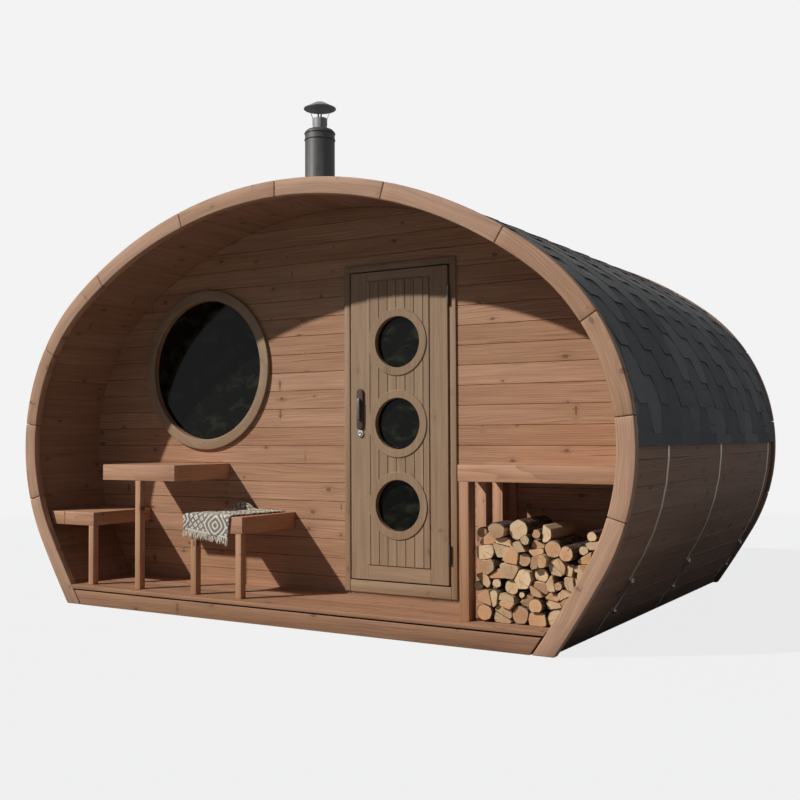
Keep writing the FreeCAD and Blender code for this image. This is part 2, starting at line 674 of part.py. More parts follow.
# Door leaf: stiles and rails round a boarded panel that carries the portholes' trim rings
leaf_x = "door_frame_left + casing_width + latch_gap"
leaf_y = frame_y
leaf_z = "%s + door_foot_gap" % sill_top
leaf_width = "door_frame_width - 2 * casing_width - latch_gap - hinge_gap"
leaf_height = "%s - door_top_gap - %s - door_foot_gap" % (head_low, sill_top)
leaf_blank = box("LeafBlank", leaf_x, leaf_y, leaf_z, leaf_width, "door_thickness", leaf_height)
hole_x = leaf_x + " + stile_width"
hole_z = leaf_z + " + bottom_rail"
hole_width = leaf_width + " - 2 * stile_width"
hole_height = leaf_height + " - bottom_rail - top_rail"
panel_hole = box("LeafOpening", hole_x, leaf_y + " - drill_past", hole_z, hole_width,
                 "door_thickness + 2 * drill_past", hole_height)
keep(cut("DoorLeaf", leaf_blank, panel_hole), "door_leaf")
panel_y = leaf_y + " + door_thickness - panel_thickness"
panel_blank = box("PanelBlank", hole_x + " + seat_gap", panel_y, hole_z + " + seat_gap",
                  hole_width + " - 2 * seat_gap", "panel_thickness", hole_height + " - 2 * seat_gap")
port_x = leaf_x + " + (%s) / 2" % leaf_width
porthole_pane_y = panel_y + " + (panel_thickness - glass_thickness) / 2"
ring_y = panel_y + " - porthole_ring_depth"
drills = []
trims = []
panes = []
for number in range(int(size("porthole_count"))):
    port_z = "porthole_middle + (%d - (porthole_count - 1) / 2) * porthole_pitch" % number
    trims.append(disc("PortholeTrim%d" % number, port_x, ring_y, port_z, "porthole_ring_radius",
                      "porthole_ring_depth + panel_thickness / 2"))
    drills.append(disc("PortholeDrill%d" % number, port_x, ring_y + " - drill_past", port_z,
                       "porthole_radius", "porthole_ring_depth + panel_thickness + 2 * drill_past"))
    panes.append(disc("Pane%d" % number, port_x, porthole_pane_y, port_z, "porthole_radius - seat_gap",
                      "glass_thickness"))
trimmed_panel = fuse("TrimmedPanel", [panel_blank] + trims)
keep(cut("DoorPanel", trimmed_panel, group("PortholeDrills", drills)), "door_panel")
keep(group("PortholeGlass", panes), "porthole_glass")

# Handle and lock on the leaf's left stile: a backplate with round ends, a pull bar on two posts
handle_x = leaf_x + " + handle_across"
plate_y = leaf_y + " - handle_plate"
plate_pieces = [box("PlateMiddle", handle_x + " - handle_width / 2", plate_y,
                    "handle_height - handle_length / 2 + handle_width / 2", "handle_width", "handle_plate",
                    "handle_length - handle_width")]
for end, sign in (("Low", "-"), ("High", "+")):
    end_z = "handle_height %s (handle_length - handle_width) / 2" % sign
    plate_pieces.append(disc("PlateEnd" + end, handle_x, plate_y, end_z, "handle_width / 2", "handle_plate"))
keep(fuse("DoorHandlePlate", plate_pieces), "door_handle_plate")
grip_x = handle_x + " - grip_width / 2"
grip_y = plate_y + " - grip_reach"
grip_low = "handle_height - grip_length / 2"
grip_pieces = [
    box("PullBar", grip_x, grip_y, grip_low, "grip_width", "grip_width", "grip_length"),
    box("PullPostLow", grip_x, grip_y, grip_low, "grip_width", "grip_reach - seat_gap", "grip_end"),
    box("PullPostHigh", grip_x, grip_y, "handle_height + grip_length / 2 - grip_end", "grip_width",
        "grip_reach - seat_gap", "grip_end"),
]
pull = fuse("DoorPull", grip_pieces)
lock = disc("DoorLock", handle_x, leaf_y + " - lock_depth", "handle_height - lock_drop", "lock_radius",
            "lock_depth")
keep(group("DoorPullAndLock", [pull, lock]), "door_pull_and_lock")

# Hinges: lower knuckle and pin on the frame, upper knuckle on the leaf
axis_x = "%s - hinge_gap / 2" % inner_right
axis_y = leaf_y + " - knuckle_radius"
half_hinge = "hinge_length / 2"
frame_halves = []
leaf_halves = []
for level in ("low", "high"):
    middle = "hinge_" + level
    tag = level.title()
    knuckle = post("FrameKnuckle" + tag, axis_x, axis_y, middle + " - " + half_hinge, "knuckle_radius",
                   half_hinge + " - seat_gap")
    pin = post("HingePin" + tag, axis_x, axis_y, middle + " - " + half_hinge, "hinge_pin_radius",
               "hinge_length - hinge_cap - hinge_pin_short")
    frame_flap = box("FrameFlap" + tag, axis_x + " + hinge_gap / 2 - hinge_flap - seat_gap", axis_y,
                     middle + " - " + half_hinge, "hinge_flap", "hinge_flap_reach",
                     half_hinge + " - seat_gap")
    frame_halves.append(fuse("FrameHinge" + tag, [knuckle, pin, frame_flap]))
    sleeve = post("LeafKnuckle" + tag, axis_x, axis_y, middle, "knuckle_radius", half_hinge)
    bore = post("LeafBore" + tag, axis_x, axis_y, middle + " - drill_past",
                "hinge_pin_radius + hinge_pin_gap", half_hinge + " - hinge_cap + drill_past")
    leaf_flap = box("LeafFlap" + tag, axis_x + " - hinge_gap / 2 + seat_gap", axis_y, middle, "hinge_flap",
                    "hinge_flap_reach", half_hinge)
    leaf_halves.append(cut("LeafHinge" + tag, fuse("LeafHingeBlank" + tag, [sleeve, leaf_flap]), bore))
keep(group("HingeFrameSide", frame_halves), "door_hinge_frame_side")
keep(group("HingeLeafSide", leaf_halves), "door_hinge_leaf_side")

# Porch furniture: boards with an edge board in front and at the free side, on square legs
front_edge = "front_setback - barrel_length / 2"
behind_edge = front_edge + " + fascia_thickness + seat_gap"
behind_depth = "porch_depth - front_setback - fascia_thickness - 2 * seat_gap"
wall_room = solid("RoomInsideStaves", room(DECK_IN, FRONT, size("barrel_length")))


def framed_top(name, left, right, top, fascia, left_side=None):
    """Boards behind a front edge board, with a side edge board on the right and perhaps one on the left."""
    side_z = "%s - (%s)" % (top, fascia)
    across = "%s - (%s)" % (right, left)
    side = ("fascia_thickness", behind_depth, fascia)
    pieces = [box(name + "Front", left, front_edge, side_z, across, "fascia_thickness", fascia),
              box(name + "SideRight", right + " - fascia_thickness", behind_edge, side_z, *side)]
    inner = left
    if left_side:
        pieces.append(box(name + "SideLeft", left, behind_edge, side_z, *side))
        inner = left + " + fascia_thickness + seat_gap"
    boards_across = "%s - fascia_thickness - seat_gap - (%s)" % (right, inner)
    pieces.append(box(name + "Boards", inner, behind_edge, top + " - board_thickness", boards_across,
                      behind_depth, "board_thickness"))
    return pieces


bench = framed_top("Bench", "-2 * side_radius", "-bench_right", "bench_height", "bench_fascia")
bench = [common("Fitted" + piece.Name, piece, wall_room) for piece in bench]
keep(group("BenchSeat", bench), "bench_seat")
table = framed_top("Table", "-table_left", "-table_right", "table_height", "table_fascia", left_side=True)
keep(group("TableTop", table), "table_top")
stool = framed_top("Stool", "-stool_left", "-stool_right", "stool_height", "stool_fascia", left_side=True)
keep(group("StoolSeat", stool), "stool_seat")

legs = []
leg_places = (
    ("Bench", "-bench_right - leg_width", "bench_height - bench_fascia"),
    ("Table", "-(table_left + table_right + leg_width) / 2", "table_height - table_fascia"),
    ("StoolLeft", "-stool_left + leg_width", "stool_height - stool_fascia"),
    ("StoolRight", "-stool_right - leg_width - leg_inset", "stool_height - stool_fascia"),
)
for name, leg_x, leg_top in leg_places:
    legs.append(box(name + "Leg", leg_x, front_edge, floor_z, "leg_width", "leg_width",
                    leg_top + " - bearer_height - deck_thickness - seat_gap"))
keep(group("PorchLegs", legs), "porch_legs")

# Throw over the stool: a plain closed form, with the fold bunched up against the wall
throw_z = "stool_height + seat_gap"
fall_y = front_edge + " - throw_thickness - seat_gap"
throw_depth = "porch_depth - front_setback - throw_rear"
throw_flat = box("ThrowFlat", "-throw_left", fall_y, throw_z, "throw_left - throw_right",
                 throw_depth + " + throw_thickness + seat_gap", "throw_thickness")
throw_fall = box("ThrowFall", "-throw_left", fall_y, "stool_height - throw_drop",
                 "throw_left - throw_fall_right", "throw_thickness", "throw_drop + throw_thickness + seat_gap")
throw_fold = doc.addObject("Part::Wedge", "ThrowFold")
for prop, formula in (
        ("Xmin", "0"), ("Xmax", "throw_fold_width"), ("X2min", "throw_fold_width / 4"),
        ("X2max", "throw_fold_width * 3 / 4"), ("Ymin", "0"), ("Ymax", "throw_fold_rise"),
        ("Zmin", "0"), ("Zmax", "throw_fold_depth"), ("Z2min", "throw_fold_depth / 4"),
        ("Z2max", "throw_fold_depth * 3 / 4")):
    bind(throw_fold, prop, formula)
throw_fold.Placement = Placement(Vector(0, 0, 0), Rotation(Vector(1, 0, 0), 90))
place(throw_fold, "-throw_left", "porch_depth - throw_rear - barrel_length / 2", throw_z)
keep(fuse("Throw", [throw_flat, throw_fall, throw_fold]), "throw")

# Wood store: a shelf, the slats of its free side and the split logs below
store_low = "store_height - store_fascia"
store_reach = "2 * side_radius"
shelf = [
    box("ShelfFront", "store_left", front_edge, store_low, store_reach, "fascia_thickness", "store_fascia"),
    box("ShelfBoards", "store_left", behind_edge, "store_height - board_thickness", store_reach, behind_depth,
        "board_thickness"),
    box("ShelfSide", "store_left", behind_edge, store_low, "store_side_width", behind_depth,
        "store_fascia - board_thickness - seat_gap"),
]
keep(group("StoreShelf", [common("Fitted" + piece.Name, piece, wall_room) for piece in shelf]), "store_shelf")
slat_height = "store_height - store_fascia - bearer_height - deck_thickness - seat_gap"
slat_run = "(porch_depth - front_setback - slat_depth - slat_wall_gap - batten_depth - seat_gap)"
slats = []
for number in range(int(size("slat_count"))):
    slat_y = front_edge + " + %d * %s / (slat_count - 1)" % (number, slat_run)
    slats.append(box("Slat%d" % number, "slat_left", slat_y, floor_z, "slat_width", "slat_depth", slat_height))
slats.append(box("WallBatten", "batten_left", wall_y + " - batten_depth - seat_gap", floor_z, "slat_width",
                 "batten_depth", slat_height))
keep(group("StoreSlats", slats), "store_slats")

LOG_X = size("slat_left") + size("slat_width")
LOG_SIDES = 7
LOG_TURN = 0.37
REACH_LEAST = 0.72
REACH_STEP = 2.4
STAGGER_STEP = 3.7


def wave(index, step):
    """Number from 0 to 1 that varies unevenly from one log to the next."""
    return 0.5 + 0.5 * math.cos(step * index)


def clip(polygon, point, normal):
    """Part of a convex polygon on the far side of a line from its normal."""
    kept = []
    for (ax, az), (bx, bz) in zip(polygon, polygon[1:] + polygon[:1]):
        side_a = (ax - point[0]) * normal[0] + (az - point[1]) * normal[1]
        side_b = (bx - point[0]) * normal[0] + (bz - point[1]) * normal[1]
        if side_a <= 0:
            kept.append((ax, az))
        if side_a * side_b < 0:
            share = side_a / (side_a - side_b)
            kept.append((ax + share * (bx - ax), az + share * (bz - az)))
    return kept


def log_outline(index):
    """Cross-section of a split log: its own round, cut flat where it meets its neighbours."""
    x, z = LOG_CENTRES[index]
    reach = size("log_reach") * (REACH_LEAST + (1 - REACH_LEAST) * wave(index, REACH_STEP))
    outline = []
    for step in range(LOG_SIDES):
        turn = 2 * math.pi * (step + LOG_TURN * index) / LOG_SIDES
        outline.append((x + reach * math.cos(turn), z + reach * math.sin(turn)))
    for other, (ox, oz) in enumerate(LOG_CENTRES):
        if other != index:
            gap = math.hypot(ox - x, oz - z)
            normal = ((ox - x) / gap, (oz - z) / gap)
            half = gap / 2 - SEAT / 2
            outline = clip(outline, (x + normal[0] * half, z + normal[1] * half), normal)
    outline = clip(outline, (SEAT, 0), (-1, 0))
    outline = clip(outline, (0, SEAT), (0, -1))
    return [(LOG_X + x, FLOOR + z) for x, z in outline]


log_room = room(DECK_IN + SEAT, FRONT, size("barrel_length"))
logs = []
for index in range(len(LOG_CENTRES)):
    log_front = FRONT + size("log_setback") + size("log_stagger") * wave(index, STAGGER_STEP)
    log = prism(log_outline(index), log_front, size("log_length")).common(log_room)
    logs.extend(log.Solids)
keep(solid("Firewood", Part.makeCompound(logs)), "firewood")

# Steel straps: they run under the shingles and show below their hem, with a tensioner low on each side
STRAP_W = size("strap_width")
STRAP_IN = STAVE_OUT - SEAT
STRAP_OUT = STRAP_IN - size("strap_thickness")
LUG_T = size("lug_thickness")
LUG_REACH = size("lug_reach")
ROD_SIDES = 6
NUT_SIDES = 6
ALONG = Vector(0, 1, 0)


def bar(foot, run, radius, sides):
    """Straight bar with flat sides from a foot along a run."""
    out = run.cross(ALONG).normalize()
    corners = []
    for step in range(sides):
        turn = 2 * math.pi * (step + 0.5) / sides
        corners.append(foot + out * (radius * math.cos(turn)) + ALONG * (radius * math.sin(turn)))
    return Part.Face(Part.makePolygon(corners + corners[:1])).extrude(run)


def tensioner(high, low, y):
    """Two lugs on the staves drawn together by a threaded rod with a nut outside each."""
    down = (low - high).normalize()
    out = down.cross(ALONG).normalize()
    nut = size("nut_height")
    past = size("rod_past")
    reach = Vector(0, y, 0) + out * (LUG_REACH / 2)
    rod = bar(high - down * past + reach, low - high + down * (2 * past), size("rod_radius"), ROD_SIDES)
    pieces = [rod]
    for lug_top in (high - down * LUG_T, low):
        lug_foot = lug_top + down * LUG_T
        corners = [lug_top, lug_foot, lug_foot + out * LUG_REACH, lug_top + out * LUG_REACH]
        pieces.append(prism([(p.x, p.z) for p in corners], y - STRAP_W / 2, STRAP_W))
    for nut_top in (high - down * (LUG_T + nut), low + down * LUG_T):
        pieces.append(bar(nut_top + reach, down * nut, size("nut_radius"), NUT_SIDES))
    return pieces[0].fuse(pieces[1:]).removeSplitter()


HIGH_TURN = angle_at_height(size("tensioner_high"), STRAP_IN)
LOW_TURN = angle_at_height(size("tensioner_low"), STRAP_IN)
LUG_TURN = math.degrees((LUG_T + SEAT) / SKIRT_R)
HEM_TURN = HEM + math.degrees(SEAT / SIDE_R)
FOOT_TURN = angle_at_height(size("strap_foot"), STRAP_IN)
straps = []
tensioners = []
first_strap = FRONT + size("strap_first")
third_strap = REAR - size("strap_third")
second_strap = first_strap + size("strap_second_share") * (third_strap - first_strap)
for strap_y in (first_strap, second_strap, third_strap):
    for start, end in ((HEM_TURN, HIGH_TURN - LUG_TURN), (LOW_TURN + LUG_TURN, FOOT_TURN)):
        straps.append(skin(start, end, STRAP_OUT, STRAP_IN, strap_y - STRAP_W / 2, STRAP_W))
    tensioners.append(tensioner(oval_point(HIGH_TURN, STRAP_IN), oval_point(LOW_TURN, STRAP_IN), strap_y))
keep(solid("ShellStraps", Part.makeCompound(straps + mirrored(straps))), "shell_straps")
keep(solid("StrapTensioners", Part.makeCompound(tensioners + mirrored(tensioners))), "strap_tensioners")

# Chimney: a turned casing with its flashing, and an inner pipe that carries the rain cap on struts
flue_x = "-flue_across"
flue_y = "flue_along - barrel_length / 2"
roof_at_flue = "(roof_crown - roof_radius + sqrt(roof_radius ^ 2 - flue_across ^ 2))"
flue_foot = "(%s - stave_setback - stave_thickness - flue_tail)" % roof_at_flue
flue_top = "(roof_crown + flue_rise)"
casing_height = "%s - %s" % (flue_top, flue_foot)
casing_corners = (
    ("flue_inner_radius", "0"),
    ("flue_radius", "0"),
    ("flue_radius", casing_height + " - flue_shoulder"),
    ("flue_radius - flue_shoulder", casing_height),
    ("flue_inner_radius", casing_height),
)
casing = turned("FlueCasing", flue_x, flue_y, flue_foot, casing_corners)
flashing = doc.addObject("Part::Cone", "FlashingCone")
bind(flashing, "Radius1", "flashing_radius")
bind(flashing, "Radius2", "flue_radius")
bind(flashing, "Height", "flashing_height + flashing_depth")
place(flashing, flue_x, flue_y, roof_at_flue + " - flashing_depth")
flashing_bore = post("FlashingBore", flue_x, flue_y, flue_foot, "flue_radius - flashing_lap", casing_height)
below_roof = solid("BelowRoof", room(SHINGLE_OUT - SEAT, FRONT, size("barrel_length")))
flashing_skirt = cut("FlashingSkirt", cut("FlashingOnRoof", flashing, below_roof), flashing_bore)
keep(fuse("FlueOuter", [casing, flashing_skirt]), "flue_outer")

pipe_top = flue_top + " + flue_inner_rise"
pipe_low = pipe_top + " - flue_inner_length"
pipe_corners = (
    ("flue_inner_radius - flue_inner_wall - seat_gap", "0"),
    ("flue_inner_radius - seat_gap", "0"),
    ("flue_inner_radius - seat_gap", "flue_inner_length"),
    ("flue_inner_radius - flue_inner_wall - seat_gap", "flue_inner_length"),
)
pipe = turned("FluePipe", flue_x, flue_y, pipe_low, pipe_corners)
cap_corners = (
    ("0", "0"),
    ("cap_radius", "0"),
    ("cap_radius", "cap_rim"),
    ("cap_crown", "cap_rise"),
    ("0", "cap_rise"),
)
cap = turned("FlueCap", flue_x, flue_y, pipe_top + " + cap_gap", cap_corners)


def cap_strut(turn):
    """Flat strip up the inner pipe's side that leans out to the cap's underside."""
    thick = size("strut_thickness")
    pipe_side = size("flue_inner_radius") - thick / 2
    top = CROWN + size("flue_rise") + size("flue_inner_rise")
    foot = top - size("strut_foot")
    under = top + size("cap_gap") + size("cap_rim") / 2
    leaned = pipe_side + size("strut_flare")
    outline = [(pipe_side, foot), (pipe_side + thick, foot), (pipe_side + thick, top),
               (leaned + thick, under), (leaned, under), (pipe_side, top)]
    strip = prism(outline, -size("strut_width") / 2, size("strut_width"))
    strip.rotate(Vector(0, 0, 0), Vector(0, 0, 1), turn)
    strip.translate(Vector(FLUE_X, FLUE_Y, 0))
    return strip


strut_step = 360 / size("strut_count")
struts = [cap_strut(strut_step * (number + 0.5)) for number in range(int(size("strut_count")))]
strut_pieces = solid("CapStruts", Part.makeCompound(struts))
keep(fuse("CapOnPipe", [pipe, cap, strut_pieces]), "flue_cap")

doc.recompute()

# Every object must have recomputed well, and every sub-part must hold valid solids
faults = [item.Name for item in doc.Objects if "Invalid" in item.State or "Error" in item.State]
for item in parts_to_export:
    shape = item.Shape
    if shape.isNull() or not shape.isValid() or not shape.Solids:
        faults.append(item.Label)
if faults:
    sys.exit("These objects failed: " + ", ".join(faults))

os.makedirs("parts", exist_ok=True)
for item in parts_to_export:
    item.Shape.exportStep(os.path.join("parts", item.Label + ".step"))
print("wrote %d parts" % len(parts_to_export))
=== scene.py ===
"""Dresses the outdoor sauna cabin: its timber, shingles, glass, metal, firewood and throw, and lights it."""
from __future__ import annotations

import logging
import math
import random
from dataclasses import dataclass, field
from enum import Enum
from typing import Callable, Sequence

import bpy
import numpy as np
from mathutils import Matrix, Vector


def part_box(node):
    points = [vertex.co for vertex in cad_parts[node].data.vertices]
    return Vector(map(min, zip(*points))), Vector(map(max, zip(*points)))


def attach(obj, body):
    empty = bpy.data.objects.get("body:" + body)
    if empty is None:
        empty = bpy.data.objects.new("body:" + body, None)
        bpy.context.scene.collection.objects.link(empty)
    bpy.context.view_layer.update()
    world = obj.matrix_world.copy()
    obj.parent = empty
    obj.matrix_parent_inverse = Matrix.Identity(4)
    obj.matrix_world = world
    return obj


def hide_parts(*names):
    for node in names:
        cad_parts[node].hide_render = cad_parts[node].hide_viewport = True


log = logging.getLogger("sauna")
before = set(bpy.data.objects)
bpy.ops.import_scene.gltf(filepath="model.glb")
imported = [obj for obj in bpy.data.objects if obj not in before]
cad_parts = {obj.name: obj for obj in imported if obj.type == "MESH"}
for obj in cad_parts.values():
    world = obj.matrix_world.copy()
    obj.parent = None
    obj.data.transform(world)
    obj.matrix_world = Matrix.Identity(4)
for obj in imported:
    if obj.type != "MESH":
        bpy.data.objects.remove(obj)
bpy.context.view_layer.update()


class Axis(Enum):
    """An axis of the shared frame: X across the porch, Y into the cabin, Z up."""

    X = 0
    Y = 1
    Z = 2


class Body(Enum):
    """A body of the record that pieces ride on."""

    CABIN = "cabin"
    DOOR = "door"


# vertices nearer to each other than this are one; edges sharper than SMOOTH stay sharp
MERGE = 0.00002
SMOOTH = math.radians(38)

# the CAD model's levels along Y, and the floors' height
PORCH_FRONT = -1.45
WALL_FACE = -0.895
STAVE_END = 1.405
FLOOR_TOP = 0.115


# ---------------------------------------------------------------- bench work on meshes


def only(piece: bpy.types.Object) -> None:
    """Select one piece and nothing else.

    Args:
        piece: the object that the next operators work on.
    """
    bpy.ops.object.select_all(action="DESELECT")
    piece.select_set(True)
    bpy.context.view_layer.objects.active = piece


def open_up(piece: bpy.types.Object) -> None:
    """Go into edit mode on a piece with everything in it selected.

    Args:
        piece: the object to edit.
    """
    only(piece)
    bpy.ops.object.mode_set(mode="EDIT")
    bpy.ops.mesh.select_all(action="SELECT")


def close_up() -> None:
    """Leave edit mode."""
    bpy.ops.object.mode_set(mode="OBJECT")


def fresh(name: str) -> bpy.types.Object:
    """Name the primitive that was just added and put its place into its mesh.

    Args:
        name: the piece's name.

    Returns:
        The new piece, at the origin and unscaled.
    """
    piece = bpy.context.active_object
    piece.name = name
    piece.data.name = name
    only(piece)
    bpy.ops.object.transform_apply(location=True, rotation=True, scale=True)
    return piece


def start_clear() -> None:
    """Deselect everything before a primitive is added."""
    bpy.ops.object.select_all(action="DESELECT")


def workpiece(name: str, node: str, body: Body) -> bpy.types.Object:
    """Copy a CAD node into a piece that can be worked on and that stands for it.

    Args:
        name: the new piece's name.
        node: the CAD node it replaces.
        body: the body it rides on.

    Returns:
        The piece, merged and cleared of the seams inside its flat faces.
    """
    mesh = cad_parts[node].data.copy()
    mesh.name = name
    mesh.materials.clear()
    piece = bpy.data.objects.new(name, mesh)
    bpy.context.scene.collection.objects.link(piece)
    open_up(piece)
    bpy.ops.mesh.remove_doubles(threshold=MERGE)
    bpy.ops.mesh.dissolve_limited(angle_limit=math.radians(0.4))
    close_up()
    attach(piece, body.value)
    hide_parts(node)
    return piece


def finish_modifier(piece: bpy.types.Object, kind: str, **settings: object) -> None:
    """Add a modifier to a piece, set it and apply it.

    Args:
        piece: the object.
        kind: Blender's name of the modifier.
        **settings: the modifier's values.
    """
    only(piece)
    bpy.ops.object.modifier_add(type=kind)
    modifier = piece.modifiers[-1]
    for key, value in settings.items():
        setattr(modifier, key, value)
    bpy.ops.object.modifier_apply(modifier=modifier.name)


def soften(piece: bpy.types.Object, width: float, segments: int = 2, angle: float = 40.0) -> None:
    """Round a piece's sharp edges and shade its curves smooth.

    Args:
        piece: the object.
        width: size of the rounding in metres.
        segments: faces across the rounding.
        angle: edges sharper than this, in degrees, are rounded.
    """
    finish_modifier(piece, "BEVEL", width=width, segments=segments, limit_method="ANGLE",
                    angle_limit=math.radians(angle), use_clamp_overlap=True)
    smooth(piece)


def smooth(piece: bpy.types.Object, angle: float = SMOOTH) -> None:
    """Shade a piece smooth, apart from its sharper edges.

    Args:
        piece: the object.
        angle: edges sharper than this stay sharp.
    """
    only(piece)
    bpy.ops.object.shade_smooth_by_angle(angle=angle)


def face_outwards() -> None:
    """Turn the normals of the piece in edit mode outwards and leave edit mode."""
    bpy.ops.mesh.normals_make_consistent(inside=False)
    close_up()


def join(pieces: Sequence[bpy.types.Object], name: str) -> bpy.types.Object:
    """Join pieces into the first of them.

    Args:
        pieces: the objects.
        name: the joined piece's name.

    Returns:
        The joined piece.
    """
    start_clear()
    for piece in pieces:
        piece.select_set(True)
    bpy.context.view_layer.objects.active = pieces[0]
    bpy.ops.object.join()
    pieces[0].name = pieces[0].data.name = name
    return pieces[0]


def write(mesh: bpy.types.Mesh, grain: np.ndarray | None, board: Sequence[float]) -> None:
    """Write grain and board values into a mesh, where the finishes read them.

    Args:
        mesh: the mesh.
        grain: a vector for each corner, if it has grain.
        board: a number for each face.
    """
    if grain is not None:
        mesh.attributes.new("grain", "FLOAT_VECTOR", "CORNER").data.foreach_set("vector", grain.ravel())
    mesh.attributes.new("board", "FLOAT", "FACE").data.foreach_set("value", board)


def points_of(piece: bpy.types.Object) -> np.ndarray:
    """Read the places of a piece's vertices.

    Args:
        piece: the object.

    Returns:
        An array of one row a vertex.
    """
    points = np.empty(len(piece.data.vertices) * 3)
    piece.data.vertices.foreach_get("co", points)
    return points.reshape(-1, 3)


def put_points(piece: bpy.types.Object, points: np.ndarray) -> None:
    """Write the places of a piece's vertices.

    Args:
        piece: the object.
        points: one row a vertex.
    """
    piece.data.vertices.foreach_set("co", np.ascontiguousarray(points, dtype=float).ravel())
    piece.data.update()


def groove(piece: bpy.types.Object, across: Axis, places: Sequence[float], face: Axis, level: float,
           half_width: float = 0.0015, depth: float = 0.004) -> None:
    """Cut V grooves into one flat face of a piece, as between two boards.

    Args:
        piece: the object.
        across: the axis that the grooves are spaced along.
        places: where the grooves lie on it.
        face: the axis that the grooved face looks along.
        level: the face's place on that axis.
        half_width: half of a groove's width at the surface.
        depth: how far its bottom moves along the face's axis.
    """
    normal = [0.0, 0.0, 0.0]
    normal[across.value] = 1.0
    open_up(piece)
    for place in places:
        for shift in (-half_width, 0.0, half_width):
            spot = [0.0, 0.0, 0.0]
            spot[across.value] = place + shift
            bpy.ops.mesh.select_all(action="SELECT")
            bpy.ops.mesh.bisect(plane_co=spot, plane_no=normal)
    close_up()
    points = points_of(piece)
    distance = np.min(np.abs(points[:, across.value][:, None] - np.array(places)[None, :]), axis=1)
    bottom = (distance < half_width * 0.3) & (np.abs(points[:, face.value] - level) < MERGE)
    points[bottom, face.value] += depth
    put_points(piece, points)
    for polygon in piece.data.polygons:
        near = min(abs(polygon.center[across.value] - place) for place in places) < half_width
        if near or abs(polygon.normal[face.value]) > 0.999:
            polygon.use_smooth = False


def islands(mesh: bpy.types.Mesh) -> list[int]:
    """Number the separate solids of a mesh.

    Args:
        mesh: the mesh.

    Returns:
        For each vertex the number of its solid.
    """
    parent = list(range(len(mesh.vertices)))

    def root(index: int) -> int:
        """Follow a vertex to the one that stands for its solid."""
        while parent[index] != index:
            parent[index] = parent[parent[index]]
            index = parent[index]
        return index

    for edge in mesh.edges:
        first, second = root(edge.vertices[0]), root(edge.vertices[1])
        if first != second:
            parent[first] = second
    numbers: dict[int, int] = {}
    return [numbers.setdefault(root(index), len(numbers)) for index in range(len(mesh.vertices))]


@dataclass(frozen=True)
class Lay:
    """How the grain lies in a face: its direction, the direction of the board's width, and which board it is."""

    along: Axis
    across: Axis
    board: object = 0


Rule = Callable[[Vector, int], Lay]


def lay_grain(piece: bpy.types.Object, rule: Rule, unroll: Callable[[np.ndarray], np.ndarray] | None = None,
              seed: str = "") -> None:
    """Write where the grain runs into a piece, for the timber finishes to read.

    Args:
        piece: the object.
        rule: gives the lay for a face's centre and the number of its solid.
        unroll: turns vertex places into the places that the grain is laid on, for curved work.
        seed: name that pieces share whose boards run on from one to the next.
    """
    mesh = piece.data
    points = points_of(piece)
    flat = points if unroll is None else unroll(points)
    solid_of = islands(mesh)
    for stale in ("grain", "board"):
        if stale in mesh.attributes:
            mesh.attributes.remove(mesh.attributes[stale])
    grain = np.zeros((len(mesh.loops), 3))
    board = np.zeros(len(mesh.polygons))
    tints: dict[object, float] = {}
    for face in mesh.polygons:
        number = solid_of[face.vertices[0]]
        lay = rule(face.center, number)
        third = 3 - lay.along.value - lay.across.value
        key = (number, lay.board, lay.along)
        if key not in tints:
            tints[key] = random.Random((seed or piece.name) + repr((number, str(lay.board), lay.along.value))).random()
        board[face.index] = tints[key]
        for loop in face.loop_indices:
            place = flat[mesh.loops[loop].vertex_index]
            grain[loop] = (place[lay.along.value], place[lay.across.value], place[third])
    write(mesh, grain, board)


def boards(along: Axis, across: Axis, pitch: float = 100.0, start: float = 0.0) -> Rule:
    """Make the rule for a piece whose boards all run one way.

    Args:
        along: the grain's direction.
        across: the direction in which boards follow each other.
        pitch: one board's width; without it each solid is one board.
        start: where the first board begins.

    Returns:
        A rule for lay_grain.
    """
    def rule(centre: Vector, _solid: int) -> Lay:
        """Number a face's board by its place across."""
        return Lay(along, across, math.floor((centre[across.value] - start) / pitch))

    return rule


def places_between(low: float, high: float, pitch: float) -> list[float]:
    """List evenly spaced joints between two ends.

    Args:
        low: the first board's start.
        high: the last board's end.
        pitch: one board's width.

    Returns:
        The joints' places, without the two ends.
    """
    count = int((high - low - 0.2 * pitch) / pitch)
    return [low + pitch * (step + 1) for step in range(count)]


# ---------------------------------------------------------------- shader work

Colour = tuple[float, float, float]


def rgba(colour: Colour) -> tuple[float, float, float, float]:
    """Give a colour its fourth number."""
    return (*colour, 1.0)


